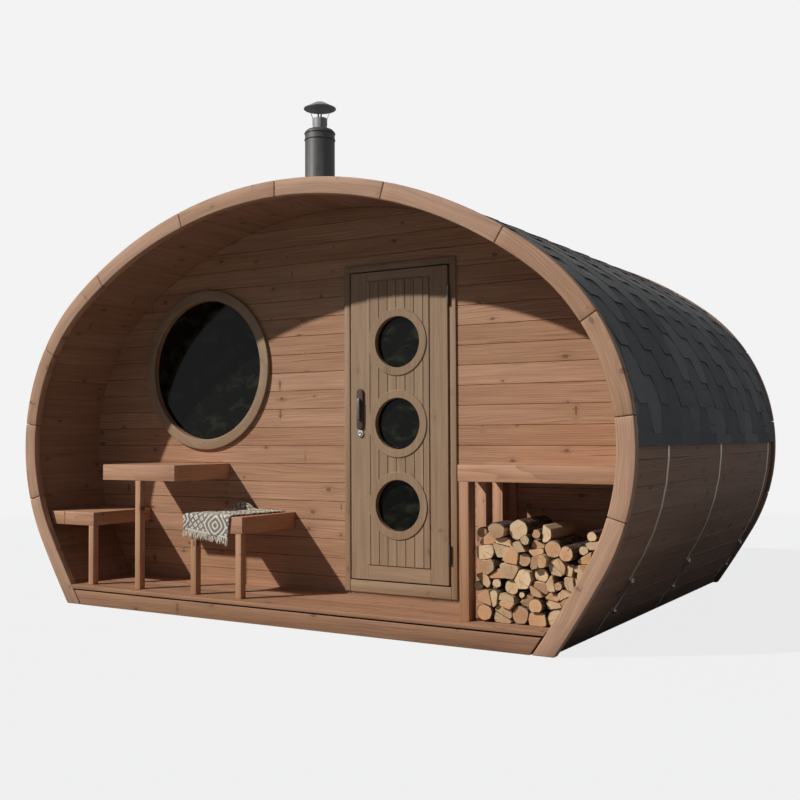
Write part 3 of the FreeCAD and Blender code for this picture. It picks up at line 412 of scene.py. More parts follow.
class Signal:
    """The value of an output socket, which can be reckoned with like a number."""

    def __init__(self, nodes: Nodes, socket: bpy.types.NodeSocket) -> None:
        """Keep the tree's helper and the socket.

        Args:
            nodes: the tree's helper.
            socket: the output that the value comes from.
        """
        self.nodes = nodes
        self.socket = socket

    def __add__(self, other: Signal | float) -> Signal:
        """Add."""
        return self.nodes.maths("ADD", self, other)

    def __sub__(self, other: Signal | float) -> Signal:
        """Subtract."""
        return self.nodes.maths("SUBTRACT", self, other)

    def __rsub__(self, other: float) -> Signal:
        """Subtract from a number."""
        return self.nodes.maths("SUBTRACT", other, self)

    def __mul__(self, other: Signal | float) -> Signal:
        """Multiply."""
        return self.nodes.maths("MULTIPLY", self, other)

    def __truediv__(self, other: Signal | float) -> Signal:
        """Divide."""
        return self.nodes.maths("DIVIDE", self, other)

    def __pow__(self, power: float) -> Signal:
        """Raise to a power."""
        return self.nodes.maths("POWER", self, power)

    def __gt__(self, other: Signal | float) -> Signal:
        """Give 1 where it is greater, else 0."""
        return self.nodes.maths("GREATER_THAN", self, other)

    def __lt__(self, other: Signal | float) -> Signal:
        """Give 1 where it is less, else 0."""
        return self.nodes.maths("LESS_THAN", self, other)

    def __abs__(self) -> Signal:
        """Drop the sign."""
        return self.nodes.maths("ABSOLUTE", self)

    def fract(self) -> Signal:
        """Keep what follows the point."""
        return self.nodes.maths("FRACT", self)

    __radd__ = __add__
    __rmul__ = __mul__


class Nodes:
    """Short ways to add nodes to a shader tree."""

    rows = 6
    spacing = (200, -220)

    def __init__(self, tree: bpy.types.NodeTree) -> None:
        """Keep the tree.

        Args:
            tree: where nodes are added.
        """
        self.tree = tree
        self.count = 0

    def add(self, kind: str, inputs: dict[object, object] | None = None, **settings: object) -> bpy.types.Node:
        """Add a node, set it and feed it.

        Args:
            kind: the node's type without the ShaderNode start.
            inputs: value or signal for each input, by name or number.
            **settings: the node's own settings.

        Returns:
            The node.
        """
        node = self.tree.nodes.new("ShaderNode" + kind)
        column, row = divmod(self.count, self.rows)
        node.location = (self.spacing[0] * column, self.spacing[1] * row)
        self.count += 1
        for key, value in settings.items():
            setattr(node, key, value)
        self.feed(node, inputs or {})
        return node

    def feed(self, node: bpy.types.Node, inputs: dict[object, object]) -> None:
        """Link a node's inputs to signals, or set them.

        Args:
            node: the node.
            inputs: value or signal for each input, by name or number.
        """
        for key, value in inputs.items():
            if isinstance(value, Signal):
                self.tree.links.new(value.socket, node.inputs[key])
            else:
                node.inputs[key].default_value = value

    def out(self, node: bpy.types.Node, key: str | int = 0) -> Signal:
        """Take a node's output.

        Args:
            node: the node.
            key: the output's name or number.

        Returns:
            Its value.
        """
        return Signal(self, node.outputs[key])

    def maths(self, how: str, *values: Signal | float, clamp: bool = False) -> Signal:
        """Work out a number.

        Args:
            how: the operation.
            *values: what it works on.
            clamp: keep the result between 0 and 1.

        Returns:
            The result.
        """
        return self.out(self.add("Math", dict(enumerate(values)), operation=how, use_clamp=clamp))

    def vector(self, how: str, *values: object) -> Signal:
        """Work out a vector.

        Args:
            how: the operation.
            *values: vectors or signals.

        Returns:
            The result, a number for LENGTH.
        """
        node = self.add("VectorMath", dict(enumerate(values)), operation=how)
        return self.out(node, "Value" if how == "LENGTH" else "Vector")

    def parts(self, value: Signal) -> list[Signal]:
        """Split a vector or a colour into its three numbers.

        Args:
            value: the vector or colour.

        Returns:
            The three numbers.
        """
        node = self.add("SeparateXYZ", {0: value})
        return [self.out(node, key) for key in range(3)]

    def grey(self, value: Signal) -> Signal:
        """Turn a number into a grey.

        Args:
            value: the number.

        Returns:
            The colour.
        """
        return self.out(self.add("CombineColor", dict.fromkeys(range(3), value)))

    def attribute(self, name: str, key: str) -> Signal:
        """Read what the modelling wrote into the mesh.

        Args:
            name: the attribute's name.
            key: Vector, or Fac for a number.

        Returns:
            Its value.
        """
        return self.out(self.add("Attribute", attribute_name=name), key)

    def place(self, chart: str = "Object") -> Signal:
        """Read the place on the piece.

        Args:
            chart: Object for metres, or UV.

        Returns:
            The place.
        """
        return self.out(self.add("TexCoord"), chart)

    def noise(self, place: Signal, stretch: Sequence[float], detail: float = 3.0, distortion: float = 0.0) -> Signal:
        """Add noise stretched along the axes.

        Args:
            place: where it is read.
            stretch: how many cells a metre on each axis.
            detail: how much fine structure.
            distortion: how much it swirls.

        Returns:
            The noise's value.
        """
        spread = self.vector("MULTIPLY", place, tuple(stretch))
        return self.out(self.add("TexNoise", {"Vector": spread, "Scale": 1.0, "Detail": detail,
                                              "Distortion": distortion}))

    def mix(self, share: Signal | float, first: object, second: object, blend: str = "MIX") -> Signal:
        """Mix two colours.

        Args:
            share: how much of the second, 0 to 1.
            first: colour or signal.
            second: colour or signal.
            blend: how they mix.

        Returns:
            The colour.
        """
        return self.out(self.add("Mix", {0: share, 6: first, 7: second}, data_type="RGBA", blend_type=blend), 2)

    def between(self, value: Signal, low: Signal | float, high: Signal | float, start: float = 0.0,
                end: float = 1.0, smooth: bool = True) -> Signal:
        """Map a value from one range to another and stay inside it.

        Args:
            value: the number.
            low: its low end.
            high: its high end.
            start: result at the low end.
            end: result at the high end.
            smooth: ease in and out.

        Returns:
            The result.
        """
        return self.out(self.add("MapRange", {0: value, 1: low, 2: high, 3: start, 4: end}, clamp=True,
                                 interpolation_type="SMOOTHSTEP" if smooth else "LINEAR"))

    def bump(self, height: Signal, distance: float, strength: float = 1.0) -> Signal:
        """Let a height shape the surface.

        Args:
            height: the height.
            distance: metres for a height of 1.
            strength: how much of it shows.

        Returns:
            The bent normal.
        """
        return self.out(self.add("Bump", {"Height": height, "Distance": distance, "Strength": strength}))


def group(name: str, inputs: dict[str, tuple[str, object]],
          outputs: dict[str, str]) -> tuple[Nodes, dict[str, Signal], bpy.types.Node]:
    """Start a shader group with named sockets.

    Args:
        name: the group's name.
        inputs: for each input its kind and first value.
        outputs: for each output its kind.

    Returns:
        A helper on its tree, its inputs' values and its output node.
    """
    tree = bpy.data.node_groups.new(name, "ShaderNodeTree")
    for key, (kind, value) in inputs.items():
        socket = tree.interface.new_socket(key, in_out="INPUT", socket_type="NodeSocket" + kind)
        if value is not None:
            socket.default_value = value
    for key, kind in outputs.items():
        tree.interface.new_socket(key, in_out="OUTPUT", socket_type="NodeSocket" + kind)
    n = Nodes(tree)
    inside = tree.nodes.new("NodeGroupInput")
    return n, {key: n.out(inside, key) for key in inputs}, tree.nodes.new("NodeGroupOutput")


def timber_group() -> bpy.types.NodeTree:
    """Build the planed timber that every wooden finish shares.

    Returns:
        A group that turns grain and board into colour, roughness and height.
    """
    n, given, out = group("planed_timber", {
        "Grain": ("Vector", None), "Board": ("Float", 0.5), "Light": ("Color", (0.5, 0.3, 0.2, 1)),
        "Dark": ("Color", (0.3, 0.15, 0.1, 1)), "Knot": ("Color", (0.08, 0.03, 0.02, 1)),
        "Variation": ("Float", 0.3), "Knots": ("Float", 1.0), "Rings": ("Float", 70.0)},
        {"Color": "Color", "Roughness": "Float", "Height": "Float"})
    knots_along, knots_across = 3.1, 10.5
    least_knot, knot_growth = 0.0012, 0.017
    knot_edge, crack_colour = (0.02, 0.008, 0.005), (0.03, 0.012, 0.007)

    # each board reads its own stretch of the pattern
    chance = n.add("TexWhiteNoise", {"W": given["Board"] * 917.3}, noise_dimensions="1D")
    shift = n.vector("MULTIPLY", n.out(chance, "Color"), (41.0, 13.0, 7.0))
    place = n.vector("ADD", given["Grain"], shift)
    along, across, depth = n.parts(place)

    # knots, round or drawn out to a spike, one a cell at most
    cells = n.vector("MULTIPLY", place, (knots_along, knots_across, 0.0))
    spots = n.add("TexVoronoi", {"Vector": cells, "Scale": 1.0, "Randomness": 0.95}, voronoi_dimensions="2D")
    middle = n.vector("MULTIPLY", n.out(spots, "Position"), (1 / knots_along, 1 / knots_across, 0.0))
    away = n.vector("SUBTRACT", n.vector("MULTIPLY", place, (1.0, 1.0, 0.0)), middle)
    pick, spike, _blue = n.parts(n.out(spots, "Color"))
    squash = n.out(n.add("Mix", {0: spike > 0.72, 4: (0.6, 1.0, 1.0), 5: (1.5, 0.42, 1.0)}, data_type="VECTOR"), 1)
    radius = n.vector("LENGTH", n.vector("MULTIPLY", away, squash))
    size = n.maths("MAXIMUM", pick - 0.3, 0.0) * knot_growth
    shows = size > least_knot
    edge = radius + (n.noise(place, (60, 60, 60), 2.0) - 0.5) * 0.005
    knot = (1.0 - n.between(edge, size * 0.75, size * 1.1 + 0.0005)) * shows
    core = 1.0 - n.between(edge, size * 0.35, size * 0.8)
    pull = (1.0 - n.between(radius, 0.0, size * 4.5 + 0.001)) * shows

    # growth lines that give way to the knots, with a rare crack along them
    bent = across - n.parts(away)[1] * pull * 0.8
    flow = n.out(n.add("CombineXYZ", {0: along, 1: bent, 2: depth}))
    line = bent * given["Rings"] + n.noise(flow, (0.9, 7.0, 7.0), 2.0) * 7.0
    fade = n.between(n.noise(flow, (1.3, 16.0, 16.0), 2.0), 0.35, 0.65, 0.3, 1.0)
    figure = line.fract() ** 2.4 * n.maths("MAXIMUM", fade, pull)
    rare = n.between(n.noise(place, (1.5, 17.0, 17.0), 1.0), 0.67, 0.71)
    crack = rare * ((line * 0.5).fract() < 0.05)
    fibre = n.noise(flow, (5.0, 320.0, 320.0), 4.0, 0.2)
    streak = n.noise(flow, (1.7, 45.0, 45.0), 4.0, 0.3)
    stain = n.noise(place, (0.8, 2.6, 2.6), 3.0)

    # colour
    tone = n.maths("ADD", figure * (pull * 0.5 + 0.55), n.between(streak, 0.35, 0.72, 0.0, 0.5, smooth=False),
                   clamp=True)
    colour = n.mix(tone, given["Light"], given["Dark"])
    colour = n.mix(1.0, colour, n.grey(n.between(fibre, 0.3, 0.7, 0.82, 1.08, smooth=False)), "MULTIPLY")
    swing = (n.out(chance, "Value") - 0.5) * given["Variation"] + (stain - 0.5) * 0.35
    tinted = n.out(n.add("HueSaturation", {"Hue": (pick - 0.5) * 0.004 + 0.5, "Saturation": 1.0 - swing * 0.4,
                                           "Value": swing + 1.0, "Color": colour}))
    colour = n.mix(pull * 0.3 * given["Knots"], tinted, given["Dark"])
    rim = n.mix(core, n.mix(0.45, given["Knot"], rgba(knot_edge)), given["Knot"])
    colour = n.mix(n.maths("MULTIPLY", knot, given["Knots"] * 0.75, clamp=True), colour, rim)
    colour = n.mix(n.maths("MULTIPLY", crack, given["Knots"] * 0.8, clamp=True), colour, rgba(crack_colour))
    n.feed(out, {"Color": colour, "Roughness": figure * 0.12 + fibre * 0.2 + 0.52,
                 "Height": fibre * 0.5 - figure * 0.35 + knot * 0.3 - crack})
    return n.tree


def soiling_group() -> bpy.types.NodeTree:
    """Build a darkening of colour low on the building, towards the ground.

    Returns:
        A group that darkens a colour towards the ground.
    """
    n, given, out = group("ground_soiling", {
        "Color": ("Color", (0.5, 0.5, 0.5, 1)), "Soil": ("Color", (0.09, 0.07, 0.05, 1)), "Amount": ("Float", 0.5)},
        {"Color": "Color"})
    place = n.place()
    # the colour darkens towards the ground, with a ragged edge from noise
    reach = n.parts(place)[2] + (n.noise(place, (5.0, 5.0, 9.0), 5.0) - 0.5) * 0.35
    mask = n.between(reach, 0.0, 0.22, 1.0, 0.0) * given["Amount"]
    n.feed(out, {"Color": n.mix(mask, given["Color"], given["Soil"])})
    return n.tree


class Paintbox:
    """The shader groups that several finishes share."""

    def __init__(self) -> None:
        """Build the groups."""
        self.timber = timber_group()
        self.soiling = soiling_group()


@dataclass(frozen=True)
class Finish:
    """A surface finish."""

    name: str

    def paint(self, n: Nodes, box: Paintbox) -> dict[object, object]:
        """Lay the finish's nodes.

        Args:
            n: helper on the material's tree.
            box: the shared groups.

        Returns:
            Value or signal for each of the shader's inputs that the finish sets.
        """
        raise NotImplementedError

    def material(self, box: Paintbox) -> bpy.types.Material:
        """Build the material.

        Args:
            box: the shared groups.

        Returns:
            The material.
        """
        material = bpy.data.materials.new(self.name)
        material.use_nodes = True
        n = Nodes(material.node_tree)
        n.feed(material.node_tree.nodes["Principled BSDF"], self.paint(n, box))
        return material


@dataclass(frozen=True)
class Timber(Finish):
    """A wooden finish: the colours of its early and late wood and how lively it is."""

    light: Colour
    dark: Colour
    knot: Colour = (0.17, 0.066, 0.034)
    variation: float = 0.3
    knots: float = 1.0
    rings: float = 70.0
    soil: float = 0.0

    def paint(self, n: Nodes, box: Paintbox) -> dict[object, object]:
        """Lay planed timber that is darker near the ground."""
        timber = n.add("Group", {
            "Grain": n.attribute("grain", "Vector"), "Board": n.attribute("board", "Fac"),
            "Light": rgba(self.light), "Dark": rgba(self.dark), "Knot": rgba(self.knot),
            "Variation": self.variation, "Knots": self.knots, "Rings": self.rings}, node_tree=box.timber)
        soil = n.add("Group", {"Color": n.out(timber, "Color"), "Amount": self.soil}, node_tree=box.soiling)
        return {"Base Color": n.out(soil, "Color"), "Roughness": n.out(timber, "Roughness"),
                "Specular IOR Level": 0.42, "Normal": n.bump(n.out(timber, "Height"), 0.0012)}


@dataclass(frozen=True)
class Metal(Finish):
    """A metal finish with brushed or cloudy wear."""

    colour: Colour
    worn: Colour
    metallic: float
    roughness: float
    brushed: Sequence[float] = (40.0, 40.0, 6.0)

    def paint(self, n: Nodes, box: Paintbox) -> dict[object, object]:
        """Lay clouds and brush strokes."""
        place = n.place()
        cloud = n.noise(place, (9.0, 9.0, 9.0), 5.0)
        brush = n.noise(place, self.brushed)
        share = n.between(cloud + brush * 0.4, 0.45, 0.95)
        return {"Base Color": n.mix(share, rgba(self.colour), rgba(self.worn)),
                "Roughness": cloud * 0.2 + (self.roughness - 0.08), "Metallic": self.metallic,
                "Normal": n.bump(brush, 0.0004)}


@dataclass(frozen=True)
class Glass(Finish):
    """Dark tinted glass, a little dusty, its dust tinted olive as a painted reflection of foliage."""

    name: str = "dark_glass"
    tint: Colour = (0.006, 0.006, 0.004)
    dusty: Colour = (0.036, 0.037, 0.02)
    clear: float = 0.3

    def paint(self, n: Nodes, box: Paintbox) -> dict[object, object]:
        """Lay dust on the tint, in an olive that paints a reflection of foliage."""
        # dust mask in olive: partly real dust, partly a painted reflection of foliage
        dust_and_reflection = n.noise(n.place(), (9.0, 9.0, 16.0), 8.0, 0.6)
        return {"Base Color": n.mix(n.between(dust_and_reflection, 0.48, 0.74), rgba(self.tint), rgba(self.dusty)),
                "Roughness": n.between(dust_and_reflection, 0.3, 0.8, 0.03, 0.12), "Transmission Weight": self.clear,
                "IOR": 1.45, "Specular IOR Level": 0.15}


@dataclass(frozen=True)
class Felt(Finish):
    """Shingle felt with mineral granules, each tab a little lighter or darker."""

    name: str = "shingle_felt"
    base: Colour = (0.052, 0.05, 0.046)
    pale: Colour = (0.215, 0.203, 0.178)

    def paint(self, n: Nodes, box: Paintbox) -> dict[object, object]:
        """Lay granules and clouds over the tab's own tone."""
        place = n.place()
        granules = n.add("TexVoronoi", {"Vector": n.vector("MULTIPLY", place, (420, 420, 420)), "Scale": 1.0})
        speck = n.parts(n.out(granules, "Color"))[0]
        broad = n.attribute("board", "Fac") * 0.75 + n.noise(place, (3.0, 3.0, 3.0), 5.0) * 0.35
        tone = n.maths("ADD", broad, (speck - 0.5) * 0.5, clamp=True)
        return {"Base Color": n.mix(tone, rgba(self.base), rgba(self.pale)),
                "Roughness": n.between(speck, 0.0, 1.0, 0.78, 0.94),
                "Normal": n.bump(n.out(granules, "Distance"), 0.0012, 0.8)}


@dataclass(frozen=True)
class LogEnd(Finish):
    """The sawn end of a log: growth rings round its heart, cracks, and a paler or redder tone a log."""

    name: str = "log_end"
    pale: Colour = (0.76, 0.53, 0.3)
    ring: Colour = (0.5, 0.3, 0.155)
    red: Colour = (0.58, 0.28, 0.125)
    bast: Colour = (0.11, 0.055, 0.03)
    crack: Colour = (0.05, 0.025, 0.015)

    def paint(self, n: Nodes, box: Paintbox) -> dict[object, object]:
        """Lay rings, a red heart, bast under the bark, and cracks."""
        place = n.attribute("grain", "Vector")
        board = n.attribute("board", "Fac")
        away = n.vector("LENGTH", n.vector("MULTIPLY", place, (1.0, 1.0, 0.0)))
        radius = away + n.noise(place, (28, 28, 28)) * 0.01
        across, upright, _depth = n.parts(place)
        turn = n.maths("ARCTAN2", upright, across)
        spoke = n.out(n.add("CombineXYZ", {0: turn * 9.0, 1: radius * 7.0, 2: board * 50.0}))
        crack = n.between(n.out(n.add("TexNoise", {"Vector": spoke, "Scale": 1.0, "Detail": 4.0})), 0.66, 0.7)
        mottle = n.noise(place, (35, 35, 35), 5.0)
        colour = n.mix((radius * 260.0).fract() ** 2.0 * 0.5, rgba(self.pale), rgba(self.ring))
        colour = n.mix(n.between(board - away * 6.0, 0.2, 0.7, 0.0, 0.85), colour, rgba(self.red))
        colour = n.mix(n.between(mottle, 0.4, 0.75, 0.0, 0.4), colour, rgba(self.ring))
        colour = n.mix(n.between(away, 0.05, 0.057), colour, rgba(self.bast))
        lift = n.between((board * 7.3).fract(), 0.0, 1.0, 0.74, 1.1)
        colour = n.mix(1.0, colour, n.grey(lift), "MULTIPLY")
        colour = n.mix(crack * 0.8, colour, rgba(self.crack))
        height = n.noise(place, (220, 220, 20)) * 0.6 - crack
        return {"Base Color": colour, "Roughness": n.between(mottle, 0.2, 0.8, 0.62, 0.85),
                "Normal": n.bump(height, 0.002)}


@dataclass(frozen=True)
class Bark(Finish):
    """Rough bark."""

    name: str = "log_bark"
    deep: Colour = (0.025, 0.016, 0.011)
    high: Colour = (0.19, 0.115, 0.072)

    def paint(self, n: Nodes, box: Paintbox) -> dict[object, object]:
        """Lay plates with deep gaps."""
        plates = n.noise(n.place(), (60, 14, 60), 6.0, 1.2)
        return {"Base Color": n.mix(n.between(plates, 0.38, 0.66), rgba(self.deep), rgba(self.high)),
                "Roughness": n.between(plates, 0.2, 0.8, 0.95, 0.75), "Normal": n.bump(plates, 0.006)}


@dataclass(frozen=True)
class Ornament:
    """A nest of rounded diamonds: its middle on the flat cloth, its half width, and how many bands it has."""

    middle: tuple[float, float]
    reach: float
    bands: float


@dataclass(frozen=True)
class Weave(Finish):
    """Cream wool with a dark grey ornament of nested diamonds, read from the cloth's own map."""

    name: str = "throw_wool"
    cream: Colour = (0.93, 0.82, 0.66)
    shade: Colour = (0.6, 0.52, 0.4)
    grey: Colour = (0.07, 0.058, 0.05)
    width: float = 0.37
    length: float = 0.6
    cell: float = 0.042
    row: float = 0.138
    threads: float = 2100.0
    roundness: float = 1.35
    band_share: float = 0.42
    ornaments: tuple[Ornament, ...] = (
        Ornament((0.272, 0.062), 0.086, 3.0), Ornament((0.02, 0.06), 0.07, 2.5),
        Ornament((0.26, 0.27), 0.095, 3.0), Ornament((0.08, 0.22), 0.08, 3.0))

    def lozenge(self, n: Nodes, place: Signal, ornament: Ornament) -> tuple[Signal, Signal]:
        """Draw one ornament.

        Args:
            n: the material's nodes.
            place: the cloth's place in metres.
            ornament: where and how large it is.

        Returns:
            The bands' value, and whether a place is inside the ornament.
        """
        across, along, _depth = n.parts(n.vector("SUBTRACT", place, (*ornament.middle, 0.0)))
        power = self.roundness
        share = (abs(across) ** power + abs(along) ** power) ** (1 / power) / ornament.reach
        return (share * ornament.bands + 0.5).fract() > self.band_share, share < 1.0

    def paint(self, n: Nodes, box: Paintbox) -> dict[object, object]:
        """Lay a lattice in rows, the ornaments over it, and the weave's threads."""
        place = n.vector("MULTIPLY", n.place("UV"), (self.width, self.length, 0.0))
        ragged = n.add("TexNoise", {"Vector": n.vector("MULTIPLY", place, (240, 240, 240)), "Scale": 1.0})
        push = n.vector("SUBTRACT", n.out(ragged, "Color"), (0.5, 0.5, 0.5))
        frayed = n.vector("ADD", place, n.vector("MULTIPLY", push, (0.006, 0.006, 0.0)))
        across, along, _depth = n.parts(frayed)
        small = abs((across / self.cell).fract() - 0.5) + abs((along / self.cell).fract() - 0.5)
        lattice = (small * 1.6).fract() > self.band_share
        plain = n.between(abs((along / self.row).fract() - 0.5), 0.4, 0.42)
        dark = lattice * (1.0 - plain)
        for ornament in self.ornaments:
            band, inside = self.lozenge(n, frayed, ornament)
            dark = n.out(n.add("Mix", {0: inside, 2: dark, 3: band}, data_type="FLOAT"))
        warp, weft, _depth = n.parts(place)
        knit = n.maths("SINE", warp * self.threads) * n.maths("SINE", weft * self.threads)
        fuzz = n.noise(place, (900, 900, 900), 2.0)
        cream = n.mix(n.between(fuzz, 0.3, 0.7, 0.0, 0.25), rgba(self.cream), rgba(self.shade))
        fray = dark * n.between(fuzz + knit * 0.12, 0.3, 0.5)
        return {"Base Color": n.mix(fray, cream, rgba(self.grey)), "Roughness": n.between(fuzz, 0.2, 0.8, 0.85, 0.98),
                "Sheen Weight": 0.08, "Sheen Roughness": 0.5, "Normal": n.bump(knit * 0.5 + fuzz, 0.0012)}


@dataclass(frozen=True)
class Yarn(Finish):
    """Twisted cream yarn of the fringe."""

    name: str = "fringe_yarn"
    cream: Colour = (0.95, 0.85, 0.68)
    shade: Colour = (0.6, 0.52, 0.4)

    def paint(self, n: Nodes, box: Paintbox) -> dict[object, object]:
        """Lay the twist."""
        twist = n.noise(n.place(), (700, 700, 160))
        return {"Base Color": n.mix(n.between(twist, 0.35, 0.7, 0.0, 0.5), rgba(self.cream), rgba(self.shade)),
                "Roughness": n.between(twist, 0.2, 0.8, 0.85, 0.98), "Normal": n.bump(twist, 0.0015)}


class Finishes:
    """All materials of the building, made once."""

    def __init__(self) -> None:
        """Build every material."""
        box = Paintbox()
        warm, deep = (0.49, 0.257, 0.135), (0.27, 0.124, 0.061)
        self.wall = Timber("thermo_wall", warm, deep, variation=0.15).material(box)
        self.stave = Timber("thermo_stave", (0.38, 0.206, 0.119), (0.225, 0.112, 0.06), variation=0.12,
                            soil=0.35).material(box)
        self.ring = Timber("thermo_ring", (0.54, 0.312, 0.186), (0.32, 0.163, 0.09), variation=0.15, rings=90.0,
                           knots=0.7, soil=0.2).material(box)
        self.seat = Timber("thermo_seat", (0.57, 0.3, 0.163), (0.33, 0.15, 0.075), variation=0.18).material(box)
        self.deck = Timber("thermo_deck", (0.48, 0.25, 0.134), (0.27, 0.12, 0.06), variation=0.18,
                           soil=0.15).material(box)
        self.door = Timber("pale_door_wood", (0.37, 0.238, 0.137), (0.24, 0.145, 0.079), variation=0.13,
                           knots=0.35, rings=110.0).material(box)
        self.dark_wood = Timber("dark_handle_wood", (0.085, 0.045, 0.03), (0.04, 0.02, 0.014), variation=0.1,
                                knots=0.0, rings=240.0).material(box)
        self.split = Timber("split_log_side", (0.62, 0.42, 0.235), (0.34, 0.19, 0.095), variation=0.5,
                            rings=180.0).material(box)
        self.steel = Metal("brushed_steel", (0.58, 0.57, 0.54), (0.42, 0.41, 0.39), 1.0, 0.36).material(box)
        # the straps' colour is raised nearly to white: their own beige, plus a painted reflection of the bright sky
        self.strap = Metal("strap_steel", (0.97, 0.87, 0.62), (0.84, 0.73, 0.5), 0.4, 0.36).material(box)
        self.pull = Metal("pull_bar_steel", (0.24, 0.23, 0.22), (0.16, 0.15, 0.14), 0.9, 0.42).material(box)
        self.hinge = Metal("hinge_steel", (0.25, 0.22, 0.19), (0.17, 0.15, 0.13), 0.8, 0.5).material(box)
        self.flue = Metal("chimney_coating", (0.075, 0.067, 0.06), (0.105, 0.096, 0.088), 0.3, 0.55).material(box)
        self.cap = Metal("cap_coating", (0.25, 0.25, 0.247), (0.31, 0.31, 0.303), 0.2, 0.6).material(box)
        self.glass = Glass().material(box)
        self.felt = Felt().material(box)
        # cut edges near black: the bitumen's own colour, deepened as painted shade under the tabs
        self.felt_edge = Felt("shingle_cut_edge", (0.014, 0.014, 0.014), (0.03, 0.03, 0.03)).material(box)
        self.log_end = LogEnd().material(box)
        self.bark = Bark().material(box)
        self.wool = Weave().material(box)
        self.yarn = Yarn().material(box)


def dress(piece: bpy.types.Object, material: bpy.types.Material) -> None:
    """Give a piece its material, in a slot of its own.

    Args:
        piece: the object.
        material: its material.
    """
    piece.data.materials.clear()
    piece.data.materials.append(material)


def dress_node(node: str, material: bpy.types.Material) -> None:
    """Give a CAD node a better material.

    Args:
        node: the node's name.
        material: its material.
    """
    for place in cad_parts[node].material_slots:
        place.material = material


# ---------------------------------------------------------------- the oval


@dataclass(frozen=True)
class Oval:
    """The barrel's outline: three tangent arcs a side."""

    crown: float = 2.42
    roof_radius: float = 2.56
    roof_angle: float = math.radians(37.5)
    side_radius: float = 1.165
    side_angle: float = math.radians(120.4)
    skirt_radius: float = 6.6

    def arcs(self) -> list[tuple[float, float, float, float]]:
        """List the right side's arcs.

        Returns:
            For each arc its centre's x and z, its radius and the angle where it ends.
        """
        roof = (0.0, self.crown - self.roof_radius)
        step = self.roof_radius - self.side_radius
        side = (roof[0] + step * math.sin(self.roof_angle), roof[1] + step * math.cos(self.roof_angle))
        step = self.side_radius - self.skirt_radius
        skirt = (side[0] + step * math.sin(self.side_angle), side[1] + step * math.cos(self.side_angle))
        return [(*roof, self.roof_radius, self.roof_angle), (*side, self.side_radius, self.side_angle),
                (*skirt, self.skirt_radius, math.pi)]

    def at(self, run: float, inset: float) -> tuple[float, float]:
        """Find the point at a distance along the outline from the crown.

        Args:
            run: distance along the ring's outer line, negative to the left.
            inset: how far inside that line.

        Returns:
            x and z.
        """
        left, start = abs(run), 0.0
        for x, z, radius, end in self.arcs():
            length = (end - start) * radius
            if left <= length or end == math.pi:
                angle = start + left / radius
                return (math.copysign(1.0, run) * (x + (radius - inset) * math.sin(angle)),
                        z + (radius - inset) * math.cos(angle))
            left -= length
            start = end
        return 0.0, 0.0

    def trace(self, x: float, z: float) -> tuple[float, float]:
        """Find how far along and how deep inside the outline a point is.

        Args:
            x: the point's x.
            z: the point's z.

        Returns:
            The run from the crown, negative to the left, and the inset.
        """
        total, start = 0.0, 0.0
        for centre_x, centre_z, radius, end in self.arcs():
            angle = math.atan2(abs(x) - centre_x, z - centre_z)
            if angle <= end or end == math.pi:
                inset = radius - math.hypot(abs(x) - centre_x, z - centre_z)
                return math.copysign(total + (angle - start) * radius, x), inset
            total += (end - start) * radius
            start = end
        return 0.0, 0.0

    def run_at_height(self, height: float, inset: float = 0.0) -> float:
        """Find the run where the right side crosses a height.

        Args:
            height: the height above the ground.
            inset: how far inside the outline.

        Returns:
            The run.
        """
        low, high = 0.0, 5.0
        for _step in range(50):
            middle = (low + high) / 2
            low, high = (middle, high) if self.at(middle, inset)[1] > height else (low, middle)
        return (low + high) / 2

    def unroll(self, points: np.ndarray) -> np.ndarray:
        """Lay the barrel's surface out flat.

        Args:
            points: places on or near the barrel.

        Returns:
            For each its run, its place along the barrel, and its inset.
        """
        traced = [(self.trace(x, z), y) for x, y, z in points]
        return np.array([(run, y, inset) for (run, inset), y in traced])


# ---------------------------------------------------------------- the building


